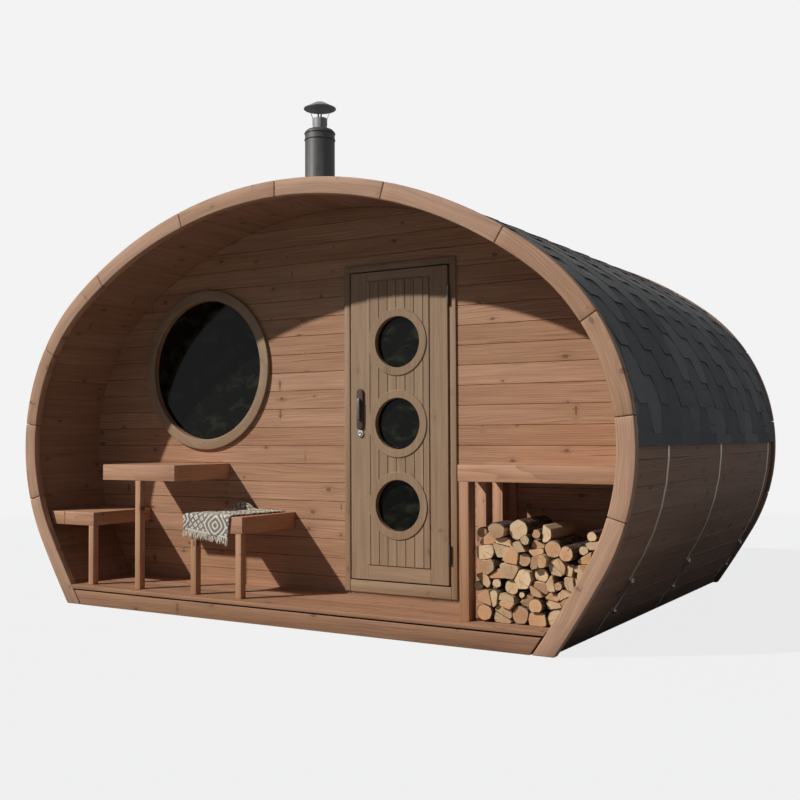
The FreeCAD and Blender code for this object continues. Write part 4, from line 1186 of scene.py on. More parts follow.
@dataclass
class Shell:
    """Rings, staves, shingles, straps and tensioners."""

    finishes: Finishes
    oval: Oval = field(default_factory=Oval)
    ring_round: float = 0.006
    tab_period: float = 0.333
    exposure: float = 0.142
    half_length: float = STAVE_END
    hem: float = 0.97
    skin_inset: float = 0.011
    butt: float = 0.0065
    under_lift: float = 0.0008
    unevenness: float = 0.0006
    head_lap: float = 0.03
    course_rows: int = 4
    felt: float = 0.003
    crown_clear: float = 0.12
    cap_half: float = 0.15
    cap_step: float = 0.2
    cap_lap: float = 0.05

    def rings(self) -> None:
        """Round the sawn ring segments' edges and lay their grain along the arc."""
        for node in ("front_ring", "rear_ring"):
            piece = workpiece(node + "_boards", node, Body.CABIN)
            soften(piece, self.ring_round, 3)
            lay_grain(piece, lambda centre, solid: Lay(Axis.X, Axis.Z, solid), self.oval.unroll)
            dress(piece, self.finishes.ring if node == "front_ring" else self.finishes.stave)

    def staves(self) -> None:
        """Break the staves' edges and run their grain along the barrel."""
        for side in ("left", "right"):
            for stretch in ("roof", "side", "base"):
                node = "staves_%s_%s" % (side, stretch)
                piece = workpiece(node + "_planks", node, Body.CABIN)
                soften(piece, 0.002, 1)
                lay_grain(piece, lambda centre, solid: Lay(Axis.Y, Axis.X, solid), self.oval.unroll)
                dress(piece, self.finishes.stave)

    def lower_edge(self, y: float, phase: float) -> float:
        """Give the shape of a course's lower edge.

        Args:
            y: place along the barrel.
            phase: shift of the tabs along it.

        Returns:
            0 at a tab's bottom, 1 in the notch between two tabs.
        """
        flat = self.tab_period / 3
        place = (y + phase) % self.tab_period
        if place < flat:
            return 0.0
        if place < 1.5 * flat:
            return (place - flat) / (0.5 * flat)
        if place < 2.5 * flat:
            return 1.0
        return 1.0 - (place - 2.5 * flat) / (0.5 * flat)

    def course(self, side: int, number: int, bottom: float) -> bpy.types.Object:
        """Make one course of shingles as a thin strip with tabs.

        Args:
            side: 1 for the right, -1 for the left.
            number: the course, counted from the hem.
            bottom: run of its tabs' lower ends.

        Returns:
            The strip, without thickness.
        """
        flat = self.tab_period / 3
        phase = (number % 2) * self.tab_period / 2
        before = 4 * self.tab_period
        stops = {-self.half_length, self.half_length}
        for period in range(-1, 12):
            for share in (0.0, 1.0, 1.5, 2.5):
                y = period * self.tab_period + share * flat - phase - before
                if -self.half_length < y < self.half_length:
                    stops.add(round(y, 6))
        ys = sorted(stops)
        top = bottom - 2 * self.exposure - self.head_lap
        start_clear()
        bpy.ops.mesh.primitive_grid_add(x_subdivisions=len(ys) - 1, y_subdivisions=self.course_rows - 1, size=1.0)
        strip = fresh("course")
        jitter = random.Random("course%d%d" % (side, number))
        points = []
        tilt = [jitter.uniform(-self.unevenness, self.unevenness) for _ in ys]
        for row in range(self.course_rows):
            for column, y in enumerate(ys):
                notch = 0.0 if number == 0 else self.lower_edge(y + before, phase)
                low = bottom - notch * self.exposure
                run = top + (low - top) * row / (self.course_rows - 1)
                lift = (run - top) / (bottom - top) * self.butt + self.under_lift + tilt[column]
                x, z = self.oval.at(side * max(run, 0.002), self.skin_inset - lift)
                points.append((x, y, z))
        put_points(strip, np.array(points))
        tabs = [math.floor((face.center.y + phase + 0.5 * flat) / self.tab_period + 0.1)
                for face in strip.data.polygons]
        write(strip.data, None, [random.Random("tab%d/%d/%d" % (side, number, tab)).random() for tab in tabs])
        return strip

    def shingles(self) -> None:
        """Lay courses of hexagonal tabs from the hem to the crown on both sides, and cap the crown."""
        hem_run = self.oval.run_at_height(self.hem, self.skin_inset)
        count = int((hem_run - self.crown_clear) / self.exposure)
        for side, name in ((1, "right"), (-1, "left")):
            strips = [self.course(side, number, hem_run - max(number - 0.6, 0.0) * self.exposure)
                      for number in range(count + 1)]
            piece = join(strips, "shingles_" + name)
            open_up(piece)
            face_outwards()
            self.face_out(piece)
            self.thicken(piece)
        self.crown_cap()

    def thicken(self, piece: bpy.types.Object) -> None:
        """Give thin strips the felt's thickness, with cut edges that are dark for their bitumen and as painted shade
        under the tabs.

        Args:
            piece: the strips.
        """
        dress(piece, self.finishes.felt)
        piece.data.materials.append(self.finishes.felt_edge)
        finish_modifier(piece, "SOLIDIFY", thickness=self.felt, offset=-1.0, material_offset_rim=1)
        smooth(piece, math.radians(25))
        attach(piece, Body.CABIN.value)

    def face_out(self, piece: bpy.types.Object) -> None:
        """Turn a thin strip's faces so that they look away from the barrel.

        Args:
            piece: the strip.
        """
        centre = Vector((0.0, 0.0, 1.0))
        for face in piece.data.polygons:
            middle = Vector((face.center.x, 0.0, face.center.z)) - centre
            if face.normal.dot(middle) < 0:
                face.flip()
        piece.data.update()

    def crown_cap(self) -> None:
        """Cover the crown with a row of folded caps that overlap along the barrel."""
        caps = []
        y = -self.half_length
        while y < self.half_length - 0.01:
            end = min(y + self.cap_step + self.cap_lap, self.half_length)
            start_clear()
            bpy.ops.mesh.primitive_grid_add(x_subdivisions=6, y_subdivisions=2, size=1.0)
            cap = fresh("cap")
            points = points_of(cap)
            for index, (across, along, _z) in enumerate(points.copy()):
                lift = self.butt + 0.0024 + self.felt * (0.5 - along)
                x, z = self.oval.at(2 * across * self.cap_half, self.skin_inset - lift)
                points[index] = (x, y + (end - y) * (along + 0.5), z)
            put_points(cap, points)
            tone = random.Random("cap%.3f" % y).random()
            write(cap.data, None, [tone] * len(cap.data.polygons))
            caps.append(cap)
            y += self.cap_step
        piece = join(caps, "shingles_crown")
        self.face_out(piece)
        self.thicken(piece)

    def metalwork(self) -> None:
        """Finish the straps and their tensioners."""
        straps = workpiece("shell_strap_bands", "shell_straps", Body.CABIN)
        soften(straps, 0.0004, 1, 50.0)
        dress(straps, self.finishes.strap)
        tensioners = workpiece("strap_lugs_and_rods", "strap_tensioners", Body.CABIN)
        soften(tensioners, 0.0012, 2, 50.0)
        dress(tensioners, self.finishes.steel)

    def build(self) -> None:
        """Make the whole shell."""
        self.rings()
        self.staves()
        dress_node("roof_shingles", self.finishes.felt)
        self.shingles()
        self.metalwork()


@dataclass
class Walls:
    """The boarded front and rear walls and their windows."""

    finishes: Finishes
    board: float = 0.1092
    first: float = 0.094
    board_count: int = 23
    joint_half: float = 0.0022
    joint_depth: float = 0.006
    front: float = WALL_FACE
    rear: float = 1.39
    trim_radius: float = 0.47
    trim_pieces: int = 8

    def boarding(self, node: str, level: float, inwards: float) -> None:
        """Cut the joints between a wall's horizontal boards and lay its grain.

        Args:
            node: the wall's CAD node.
            level: its outer face along the barrel.
            inwards: 1 if its inside is towards +Y, else -1.
        """
        piece = workpiece(node + "_boards", node, Body.CABIN)
        low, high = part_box(node)
        places = [self.first + self.board * step for step in range(1, self.board_count)]
        places = [place for place in places if low[2] + 0.01 < place < high[2] - 0.01]
        groove(piece, Axis.Z, places, Axis.Y, level, self.joint_half, self.joint_depth * inwards)
        lay_grain(piece, boards(Axis.X, Axis.Z, self.board, self.first), seed=node[:5])
        dress(piece, self.finishes.wall)

    def round_window(self) -> None:
        """Round the trim ring's edges and bend its grain round it."""
        piece = workpiece("round_window_trim", "round_window_frame", Body.CABIN)
        soften(piece, 0.005, 3)
        low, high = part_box("round_window_frame")
        centre_x, centre_z = (low[0] + high[0]) / 2, (low[2] + high[2]) / 2

        def polar(points: np.ndarray) -> np.ndarray:
            """Lay the ring out straight."""
            return np.array([(math.atan2(x - centre_x, z - centre_z) * self.trim_radius, y,
                              math.hypot(x - centre_x, z - centre_z)) for x, y, z in points])

        def rule(centre: Vector, _solid: int) -> Lay:
            """Number the ring's pieces."""
            turn = math.atan2(centre.x - centre_x, centre.z - centre_z)
            return Lay(Axis.X, Axis.Z, math.floor((turn + 0.2) / (2 * math.pi / self.trim_pieces)))

        lay_grain(piece, rule, polar)
        dress(piece, self.finishes.door)

    def build(self) -> None:
        """Make both walls and windows."""
        for node in ("front_wall_left", "front_wall_right", "front_wall_top"):
            self.boarding(node, self.front, 1.0)
        self.boarding("rear_wall", self.rear, -1.0)
        self.round_window()
        trim = workpiece("rear_window_trim", "rear_window_frame", Body.CABIN)
        soften(trim, 0.003)
        lay_grain(trim, lambda centre, solid: Lay(Axis.Z, Axis.X, centre.x > -0.87))
        dress(trim, self.finishes.door)
        for node in ("round_window_glass", "rear_window_glass"):
            dress_node(node, self.finishes.glass)


@dataclass
class Door:
    """Frame, leaf, boarded panel with portholes, handle, lock and hinges."""

    finishes: Finishes
    stile: float = 0.115
    first_joint: float = 0.2755
    board: float = 0.0582
    joint_count: int = 7
    boards_inset: float = 0.015
    ring_proud: float = 0.006
    casing_back: float = 0.006
    portholes: tuple[float, ...] = (0.629, 1.09, 1.551)
    porthole_ring: float = 0.146
    jamb: float = 0.06
    pull_flatness: float = 0.55
    lock_height: float = 0.06
    key_inset: float = 0.021
    key_front: float = -0.9225
    key_radius: float = 0.009
    key_depth: float = 0.004

    def frame_members(self) -> None:
        """Round the casings, the threshold and the stops."""
        piece = workpiece("door_casings", "door_frame", Body.CABIN)
        low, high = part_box("door_frame")
        points = points_of(piece)
        front = points[:, 1] < low[1] + 0.001
        points[front, 1] = low[1] + self.casing_back
        put_points(piece, points)
        soften(piece, 0.003)

        def rule(centre: Vector, solid: int) -> Lay:
            """Stand the jambs' grain up and lay the rest along the door's width."""
            upright = centre.x < low[0] + self.jamb or centre.x > high[0] - self.jamb
            return Lay(Axis.Z, Axis.X, solid) if upright else Lay(Axis.X, Axis.Z, solid)

        lay_grain(piece, rule)
        dress(piece, self.finishes.door)

    def leaf(self) -> None:
        """Mark the joints of stiles and rails and round the leaf."""
        piece = workpiece("door_stiles_and_rails", "door_leaf", Body.DOOR)
        low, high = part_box("door_leaf")
        soften(piece, 0.0025)
        joints = [low[0] + self.stile - 0.001, high[0] - self.stile + 0.001]
        groove(piece, Axis.X, joints, Axis.Y, low[1], 0.0008, 0.0015)

        def rule(centre: Vector, _solid: int) -> Lay:
            """Stand the stiles up and lay the rails flat."""
            if joints[0] < centre.x < joints[1]:
                return Lay(Axis.X, Axis.Z, centre.z > 1.0)
            return Lay(Axis.Z, Axis.X, centre.x > 0.45)

        lay_grain(piece, rule)
        dress(piece, self.finishes.door)

    def panel(self) -> None:
        """Cut the panel into upright boards and round its trim rings."""
        piece = workpiece("door_boards_and_portholes", "door_panel", Body.DOOR)
        low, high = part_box("door_panel")
        face = low[1] + self.ring_proud
        points = points_of(piece)
        front = np.abs(points[:, 1] - (low[1] + self.boards_inset)) < 0.001
        points[front, 1] = face
        put_points(piece, points)
        soften(piece, 0.0022)
        joints = [self.first_joint + self.board * step for step in range(self.joint_count)]
        groove(piece, Axis.X, joints, Axis.Y, face, 0.0025, 0.01)
        half = (low[0] + high[0]) / 2

        def rule(centre: Vector, _solid: int) -> Lay:
            """Tell the rings' faces from the boards'."""
            for number, height in enumerate(self.portholes):
                ring = math.hypot(centre.x - half, centre.z - height) < self.porthole_ring
                if (ring or centre.y < face - 0.0005) and abs(centre.z - height) < 0.2:
                    return Lay(Axis.Z, Axis.X, ("ring", number))
            return Lay(Axis.Z, Axis.X, math.floor((centre.x - self.first_joint) / self.board))

        lay_grain(piece, rule)
        dress(piece, self.finishes.door)
        dress_node("porthole_glass", self.finishes.glass)

    def fittings(self) -> None:
        """Finish handle, lock and hinges, and give the lock its key cylinder."""
        plate = workpiece("handle_backplate", "door_handle_plate", Body.DOOR)
        soften(plate, 0.004, 3)
        lay_grain(plate, boards(Axis.Z, Axis.X))
        dress(plate, self.finishes.dark_wood)
        pull = workpiece("pull_bar_and_lock_plate", "door_pull_and_lock", Body.DOOR)
        low, _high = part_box("door_pull_and_lock")
        plate_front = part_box("door_handle_plate")[0][1]
        above_lock = low[2] + self.lock_height
        points = points_of(pull)
        proud = (points[:, 1] < plate_front - 0.0005) & (points[:, 2] > above_lock)
        points[proud, 1] = plate_front - self.pull_flatness * (plate_front - points[proud, 1])
        put_points(pull, points)
        soften(pull, 0.002, 3)
        dress(pull, self.finishes.steel)
        pull.data.materials.append(self.finishes.pull)
        for face in pull.data.polygons:
            face.material_index = int(face.center.z > above_lock)
        start_clear()
        bpy.ops.mesh.primitive_cylinder_add(
            vertices=32, radius=self.key_radius, depth=self.key_depth, rotation=(math.pi / 2, 0.0, 0.0),
            location=(low[0] + self.key_inset, self.key_front, low[2] + self.key_inset))
        cylinder = fresh("key_cylinder")
        open_up(cylinder)
        bpy.ops.mesh.select_all(action="DESELECT")
        close_up()
        for face in cylinder.data.polygons:
            face.select = face.normal.y < -0.9
        only(cylinder)
        bpy.ops.object.mode_set(mode="EDIT")
        bpy.ops.mesh.select_mode(type="FACE")
        bpy.ops.mesh.inset(thickness=0.002, depth=0.0)
        bpy.ops.mesh.inset(thickness=0.001, depth=-0.001)
        close_up()
        soften(cylinder, 0.0004, 1)
        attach(cylinder, Body.DOOR.value)
        dress(cylinder, self.finishes.steel)
        for node, body in (("door_hinge_frame_side", Body.CABIN), ("door_hinge_leaf_side", Body.DOOR)):
            hinge = workpiece(node + "_knuckles", node, body)
            smooth(hinge)
            dress(hinge, self.finishes.hinge)

    def build(self) -> None:
        """Make the whole door."""
        self.frame_members()
        self.leaf()
        self.panel()
        self.fittings()


@dataclass(frozen=True)
class Planking:
    """Planks that run across the porch: the piece, its CAD node, and where its planks begin and end."""

    name: str
    node: str
    start: float
    end: float
    pitch: float
    top: float
    joint_half: float = 0.0018
    joint_depth: float = 0.004
    rounding: float | None = None

    def lay(self, material: bpy.types.Material) -> None:
        """Make the piece.

        Args:
            material: its finish.
        """
        piece = workpiece(self.name, self.node, Body.CABIN)
        if self.rounding is not None:
            soften(piece, self.rounding)
        groove(piece, Axis.Y, places_between(self.start, self.end, self.pitch), Axis.Z, self.top, self.joint_half,
               -self.joint_depth)
        lay_grain(piece, boards(Axis.X, Axis.Y, self.pitch, self.start))
        dress(piece, material)


def timbers(name: str, node: str, along: Axis, rounding: float, material: bpy.types.Material) -> None:
    """Make posts or beams whose grain all runs one way, each solid a timber of its own.

    Args:
        name: the piece's name.
        node: its CAD node.
        along: the grain's direction.
        rounding: rounding of the edges.
        material: its finish.
    """
    piece = workpiece(name, node, Body.CABIN)
    soften(piece, rounding)
    lay_grain(piece, boards(along, Axis.Z if along is Axis.X else Axis.X))
    dress(piece, material)


@dataclass
class Porch:
    """Deck, end beams, bearers, floor, seats, table and legs."""

    finishes: Finishes
    plank: float = 0.093
    edge_board: float = 0.0343
    side_board: float = 0.08
    rounding: float = 0.0025

    def seat(self, node: str, top: float) -> None:
        """Make a seat or table of planks between side boards.

        Args:
            node: its CAD node.
            top: height of its top.
        """
        piece = workpiece(node + "_planks", node, Body.CABIN)
        soften(piece, self.rounding)
        low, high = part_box(node)
        start = low[1] + self.edge_board
        groove(piece, Axis.Y, places_between(start, high[1], self.plank), Axis.Z, top, 0.0016, -0.004)
        numbers = np.array(islands(piece.data))
        points = points_of(piece)
        widths = [np.ptp(points[numbers == number, 0]) for number in range(numbers.max() + 1)]

        def rule(centre: Vector, solid: int) -> Lay:
            """Run the planks and the front edge board across, and the side boards along the porch."""
            if widths[solid] < self.side_board:
                return Lay(Axis.Y, Axis.Z, 0)
            return Lay(Axis.X, Axis.Y, math.floor((centre.y - start) / self.plank))

        lay_grain(piece, rule)
        dress(piece, self.finishes.seat)

    def build(self) -> None:
        """Make the porch and the floors."""
        Planking("porch_deck_boards", "porch_deck", PORCH_FRONT, WALL_FACE, 0.0925, FLOOR_TOP, joint_depth=0.005,
                 rounding=0.002).lay(self.finishes.deck)
        timbers("end_beam_boards", "end_beams", Axis.X, 0.003, self.finishes.deck)
        timbers("bearer_timbers", "floor_bearers", Axis.Y, 0.003, self.finishes.seat)
        timbers("leg_posts", "porch_legs", Axis.Z, 0.003, self.finishes.seat)
        Planking("cabin_floor_boards", "cabin_floor", -0.85, STAVE_END, 0.12, FLOOR_TOP).lay(self.finishes.deck)
        self.seat("bench_seat", 0.557)
        self.seat("table_top", 0.855)
        self.seat("stool_seat", 0.57)


Outline = list[tuple[float, float]]


@dataclass
class WoodStore:
    """Shelf, slats, and the split logs."""

    finishes: Finishes
    double_share: float = 0.6
    split_share: float = 0.62
    least_double: float = 0.07
    sides: int = 28
    fit: float = 0.96
    heart_share: tuple[float, float] = (0.3, 0.8)
    split_bark: tuple[float, float] = (0.78, 0.93)
    round_bark: tuple[float, float] = (1.08, 1.22)
    waviness: tuple[float, float] = (0.04, 0.025)
    slant: float = 0.12
    setback: tuple[float, float] = (0.001, 0.02)
    bark_from: float = 0.88
    ring_scale: float = 0.06

    def cells(self) -> list[tuple[Outline, float, float]]:
        """Read the room that each log of the stack has from the CAD solids.

        Returns:
            For each log its outline as (x, z) corners, and its front and rear along the barrel.
        """
        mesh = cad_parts["firewood"].data.copy()
        stack = bpy.data.objects.new("stack_copy", mesh)
        bpy.context.scene.collection.objects.link(stack)
        open_up(stack)
        bpy.ops.mesh.remove_doubles(threshold=MERGE)
        close_up()
        numbers = np.array(islands(mesh))
        points = points_of(stack)
        bpy.data.objects.remove(stack, do_unlink=True)
        found = []
        for number in range(numbers.max() + 1):
            own = points[numbers == number]
            front = own[own[:, 1] < own[:, 1].min() + 0.001]
            middle = front.mean(axis=0)
            turns = np.arctan2(front[:, 2] - middle[2], front[:, 0] - middle[0])
            outline = [(float(x), float(z)) for x, _y, z in front[np.argsort(turns)]]
            found.append((outline, float(own[:, 1].min()), float(own[:, 1].max())))
        return found

    @staticmethod
    def halves(outline: Outline, turn: float) -> list[Outline]:
        """Cut a convex outline in two through its middle.

        Args:
            outline: its corners.
            turn: direction of the cut's normal.

        Returns:
            The two outlines.
        """
        middle = np.mean(outline, axis=0)
        normal = np.array([math.cos(turn), math.sin(turn)])
        parts: list[Outline] = [[], []]
        for here, after in zip(outline, outline[1:] + outline[:1]):
            a, b = (np.array(here) - middle) @ normal, (np.array(after) - middle) @ normal
            parts[0 if a >= 0 else 1].append(here)
            if a * b < 0:
                cross = tuple(np.array(here) + (np.array(after) - np.array(here)) * a / (a - b))
                parts[0].append(cross)
                parts[1].append(cross)
        return parts

    @staticmethod
    def reach(outline: Outline, place: np.ndarray, turn: float) -> float:
        """Measure how far it is from a place inside an outline to its edge.

        Args:
            outline: the convex outline's corners.
            place: the place.
            turn: direction to look in.

        Returns:
            The distance.
        """
        ahead = np.array([math.cos(turn), math.sin(turn)])
        least = 10.0
        for here, after in zip(outline, outline[1:] + outline[:1]):
            side = np.array(after) - np.array(here)
            normal = np.array([side[1], -side[0]])
            rate = float(ahead @ normal)
            if rate > 1e-9:
                least = min(least, float((np.array(here) - place) @ normal) / rate)
        return max(least, 0.0)

    def billet(self, name: str, outline: Outline, front: float, rear: float,
               chance: random.Random) -> bpy.types.Object:
        """Make one log: a round one, or a split one whose heart lies near a corner, to fill its room.

        Args:
            name: its name.
            outline: its room in the stack.
            front: where it starts along the barrel.
            rear: where it ends.
            chance: source of its own shape.

        Returns:
            The log.
        """
        start_clear()
        bpy.ops.mesh.primitive_cylinder_add(vertices=self.sides, radius=1.0, depth=1.0,
                                            rotation=(math.pi / 2, 0.0, 0.0))
        log_piece = fresh(name)
        middle = np.mean(outline, axis=0)
        split = chance.random() < self.split_share
        corner = np.array(outline[chance.randrange(len(outline))])
        if split:
            heart = middle + (corner - middle) * chance.uniform(*self.heart_share)
            far = max(math.hypot(*(np.array(spot) - middle)) for spot in outline)
            bark = chance.uniform(*self.split_bark) * (far + float(np.linalg.norm(heart - middle)))
        else:
            heart = middle
            near = min(self.reach(outline, middle, turn * math.pi / 6) for turn in range(12))
            bark = near * chance.uniform(*self.round_bark)
        waves = [chance.uniform(0.0, 2 * math.pi) for _ in range(2)]
        tilt, start = chance.uniform(-self.slant, self.slant), chance.uniform(*self.setback)
        points = points_of(log_piece)
        for index, (x, y, z) in enumerate(points.copy()):
            turn = math.atan2(z, x)
            wave = (1.0 + self.waviness[0] * math.sin(2 * turn + waves[0])
                    + self.waviness[1] * math.sin(5 * turn + waves[1]))
            size = min(bark * wave, self.fit * self.reach(outline, heart, turn))
            across, level = heart[0] + size * math.cos(turn), heart[1] + size * math.sin(turn)
            depth = front + start + tilt * (across - middle[0]) if y < 0 else rear - 0.002
            points[index] = (across, min(max(depth, front), rear), level)
        put_points(log_piece, points)
        open_up(log_piece)
        face_outwards()
        self.finish_billet(log_piece, (float(heart[0]), float(heart[1])), bark, split, chance)
        return log_piece

    def finish_billet(self, log_piece: bpy.types.Object, heart: tuple[float, float], radius: float, split: bool,
                      chance: random.Random) -> None:
        """Soften a log, and give its ends, its bark and its split sides their finish and their grain.

        Args:
            log_piece: the log.
            heart: its growth centre's x and z.
            radius: distance from the heart to its bark.
            split: whether its flat sides are split wood.
            chance: source of its tone.
        """
        soften(log_piece, 0.0022, 1, 32.0)
        mesh = log_piece.data
        mesh.materials.clear()
        for material in (self.finishes.log_end, self.finishes.bark, self.finishes.split):
            mesh.materials.append(material)
        grain = np.zeros((len(mesh.loops), 3))
        tone = chance.random()
        scale = self.ring_scale / radius
        for face in mesh.polygons:
            reach = math.hypot(face.center.x - heart[0], face.center.z - heart[1])
            end = abs(face.normal.y) > 0.85
            barky = not split or reach > self.bark_from * radius
            face.material_index = 0 if end else 1 if barky else 2
            for loop in face.loop_indices:
                x, y, z = mesh.vertices[mesh.loops[loop].vertex_index].co
                if face.material_index == 2:
                    grain[loop] = (y, x + z, tone)
                else:
                    grain[loop] = ((x - heart[0]) * scale, (z - heart[1]) * scale, y + 9.0 * tone)
        write(mesh, grain, [tone] * len(mesh.polygons))

    def logs(self) -> None:
        """Stack the split logs, more than half of the wider rooms holding two."""
        chance = random.Random("firewood")
        pieces = []
        for number, (outline, front, rear) in enumerate(self.cells()):
            double = chance.random() < self.double_share and min(np.ptp(outline, axis=0)) > self.least_double
            rooms = self.halves(outline, chance.uniform(0.0, math.pi)) if double else [outline]
            for half, room in enumerate(rooms):
                if len(room) > 2:
                    pieces.append(self.billet("log_%d_%d" % (number, half), room, front, rear, chance))
        stack = join(pieces, "split_logs")
        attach(stack, Body.CABIN.value)
        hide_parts("firewood")

    def build(self) -> None:
        """Make the wood store."""
        Planking("store_shelf_boards", "store_shelf", -1.3537, WALL_FACE, 0.093, 0.878, joint_half=0.0016,
                 rounding=0.0025).lay(self.finishes.seat)
        timbers("store_slat_posts", "store_slats", Axis.Z, 0.0025, self.finishes.seat)
        self.logs()


@dataclass
class Chimney:
    """Casing with beads and flashing, and the cap on its pipe."""

    finishes: Finishes
    place: tuple[float, float] = (-0.552, -0.25)
    beads: tuple[float, ...] = (3.01, 3.053)
    casing_radius: float = 0.1
    bead_radius: float = 0.0045

    def build(self) -> None:
        """Make the chimney."""
        for name, node, finish in (("chimney_casing", "flue_outer", self.finishes.flue),
                                   ("chimney_cap_on_pipe", "flue_cap", self.finishes.cap)):
            piece = workpiece(name, node, Body.CABIN)
            soften(piece, 0.0015)
            dress(piece, finish)
        for number, height in enumerate(self.beads):
            start_clear()
            bpy.ops.mesh.primitive_circle_add(vertices=12, radius=self.bead_radius, rotation=(math.pi / 2, 0.0, 0.0),
                                              location=(self.casing_radius, 0.0, 0.0))
            bead = fresh("casing_bead_%d" % (number + 1))
            open_up(bead)
            bpy.ops.mesh.spin(steps=72, angle=2 * math.pi, center=(0.0, 0.0, 0.0), axis=(0.0, 0.0, 1.0))
            bpy.ops.mesh.select_all(action="SELECT")
            bpy.ops.mesh.remove_doubles(threshold=0.00001)
            face_outwards()
            put_points(bead, points_of(bead) + np.array([*self.place, height]))
            only(bead)
            bpy.ops.object.shade_smooth()
            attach(bead, Body.CABIN.value)
            dress(bead, self.finishes.flue)


@dataclass
class Throw:
    """A woven throw that is dropped over the stool, and its knotted fringe."""

    finishes: Finishes
    width: float = 0.37
    length: float = 0.6
    hang: float = 0.104
    turn: float = math.radians(-7.0)
    front_middle: tuple[float, float] = (-0.545, -1.388)
    seat_top: float = 0.57
    fold_place: tuple[float, float, float] = (-0.625, -0.965, 0.572)
    fold_size: tuple[float, float, float] = (0.07, 0.042, 0.04)
    rear_slack: float = 0.28
    drop: float = 0.034
    ripple: float = 0.005
    frames: int = 45
    thickness: float = 0.005
    strand_count: int = 54
    strand_radius: float = 0.0023
    strand_length: tuple[float, float] = (0.036, 0.05)
    knot: tuple[float, float, float] = (0.08, 0.2, 1.35)

    def helper_block(self, name: str, low: Sequence[float], high: Sequence[float]) -> bpy.types.Object:
        """Add a block for the cloth to fall on.

        Args:
            name: the block's name.
            low: its lowest corner.
            high: its highest corner.

        Returns:
            The block.
        """
        start_clear()
        middle = [(a + b) / 2 for a, b in zip(low, high)]
        bpy.ops.mesh.primitive_cube_add(size=1.0, location=middle)
        block = bpy.context.active_object
        block.scale = [b - a for a, b in zip(low, high)]
        block = fresh(name)
        soften(block, 0.006, 3)
        self.make_solid(block)
        return block

    @staticmethod
    def make_solid(block: bpy.types.Object) -> None:
        """Let cloth collide with an object.

        Args:
            block: the object.
        """
        only(block)
        bpy.ops.object.modifier_add(type="COLLISION")
        block.collision.thickness_outer = 0.0025
        block.collision.cloth_friction = 60.0

    def drape(self) -> bpy.types.Object:
        """Let a flat sheet fall over the seat and the fold under it.

        Returns:
            The draped sheet, still without thickness.
        """
        low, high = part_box("stool_seat")
        helpers = [self.helper_block("seat_helper", low, (high[0], -0.85, high[2]))]
        start_clear()
        bpy.ops.mesh.primitive_uv_sphere_add(segments=24, ring_count=12, radius=1.0, location=self.fold_place)
        fold = bpy.context.active_object
        fold.scale = self.fold_size
        fold = fresh("fold_helper")
        self.make_solid(fold)
        helpers.append(fold)
        start_clear()
        bpy.ops.mesh.primitive_grid_add(x_subdivisions=62, y_subdivisions=100, size=1.0, calc_uvs=True)
        sheet = fresh("woven_throw")
        points = points_of(sheet)
        side, ahead = math.cos(self.turn), math.sin(self.turn)
        for index, (x, y, _z) in enumerate(points.copy()):
            across, along = x * self.width, (y + 0.5) * self.length - self.hang
            ripple = self.ripple * math.sin(across * 41.0 + 1.0) * math.sin(along * 23.0)
            lift = self.drop + ripple + 0.03 * max(0.0, along - 0.30) / 0.2
            if along > self.rear_slack:
                slack = along - self.rear_slack
                along = self.rear_slack + slack * (1.0 - 0.15 * slack / 0.23)
            points[index] = (self.front_middle[0] + across * side - along * ahead,
                             self.front_middle[1] + across * ahead + along * side, self.seat_top + lift)
        put_points(sheet, points)
        only(sheet)
        bpy.ops.object.modifier_add(type="CLOTH")
        cloth = sheet.modifiers[-1]
        for key, value in {"quality": 7, "mass": 0.25, "tension_stiffness": 12.0, "compression_stiffness": 8.0,
                           "shear_stiffness": 5.0, "bending_stiffness": 0.08, "air_damping": 2.0}.items():
            setattr(cloth.settings, key, value)
        cloth.collision_settings.distance_min = 0.003
        cloth.collision_settings.collision_quality = 4
        cloth.collision_settings.use_self_collision = False
        cloth.point_cache.frame_end = self.frames + 1
        for step in range(1, self.frames + 1):
            bpy.context.scene.frame_set(step)
        only(sheet)
        bpy.ops.object.modifier_apply(modifier=cloth.name)
        bpy.context.scene.frame_set(1)
        for helper in helpers:
            bpy.data.objects.remove(helper, do_unlink=True)
        return sheet

    def fringe(self, hem: np.ndarray) -> bpy.types.Object:
        """Tie a fringe of yarn strands under the front hem.

        Args:
            hem: places along the hem, from left to right.

        Returns:
            The fringe.
        """
        chance = random.Random("fringe")
        strands = []
        for number in range(self.strand_count):
            share = (number + 0.5) / self.strand_count * (len(hem) - 1)
            below = int(share)
            top = Vector(hem[below]).lerp(Vector(hem[min(below + 1, len(hem) - 1)]), share - below)
            length = chance.uniform(*self.strand_length)
            start_clear()
            bpy.ops.mesh.primitive_cylinder_add(vertices=7, radius=self.strand_radius, depth=length,
                                                location=(0, 0, -length / 2))
            strand = fresh("strand")
            open_up(strand)
            for cut in (0.12, 0.3, 0.5, 0.75):
                bpy.ops.mesh.select_all(action="SELECT")
                bpy.ops.mesh.bisect(plane_co=(0, 0, -length * cut), plane_no=(0, 0, 1))
            close_up()
            lean = Vector((chance.uniform(-0.012, 0.012), chance.uniform(-0.006, 0.002), 0.0))
            curl = Vector((chance.uniform(-0.004, 0.004), chance.uniform(-0.003, 0.003), 0.0))
            points = points_of(strand)
            for index, (x, y, z) in enumerate(points.copy()):
                depth = -z / length
                thick = 1.25 - 0.55 * depth if depth > 0.05 else 1.0
                if self.knot[0] < depth < self.knot[1]:
                    thick *= self.knot[2]
                swing = lean * depth * depth + curl * math.sin(depth * 5.0)
                points[index] = (x * thick + swing.x + top.x, y * thick + swing.y + top.y, z + top.z + 0.004)
            put_points(strand, points)
            strands.append(strand)
        piece = join(strands, "throw_fringe")
        only(piece)
        bpy.ops.object.shade_smooth()
        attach(piece, Body.CABIN.value)
        dress(piece, self.finishes.yarn)
        return piece

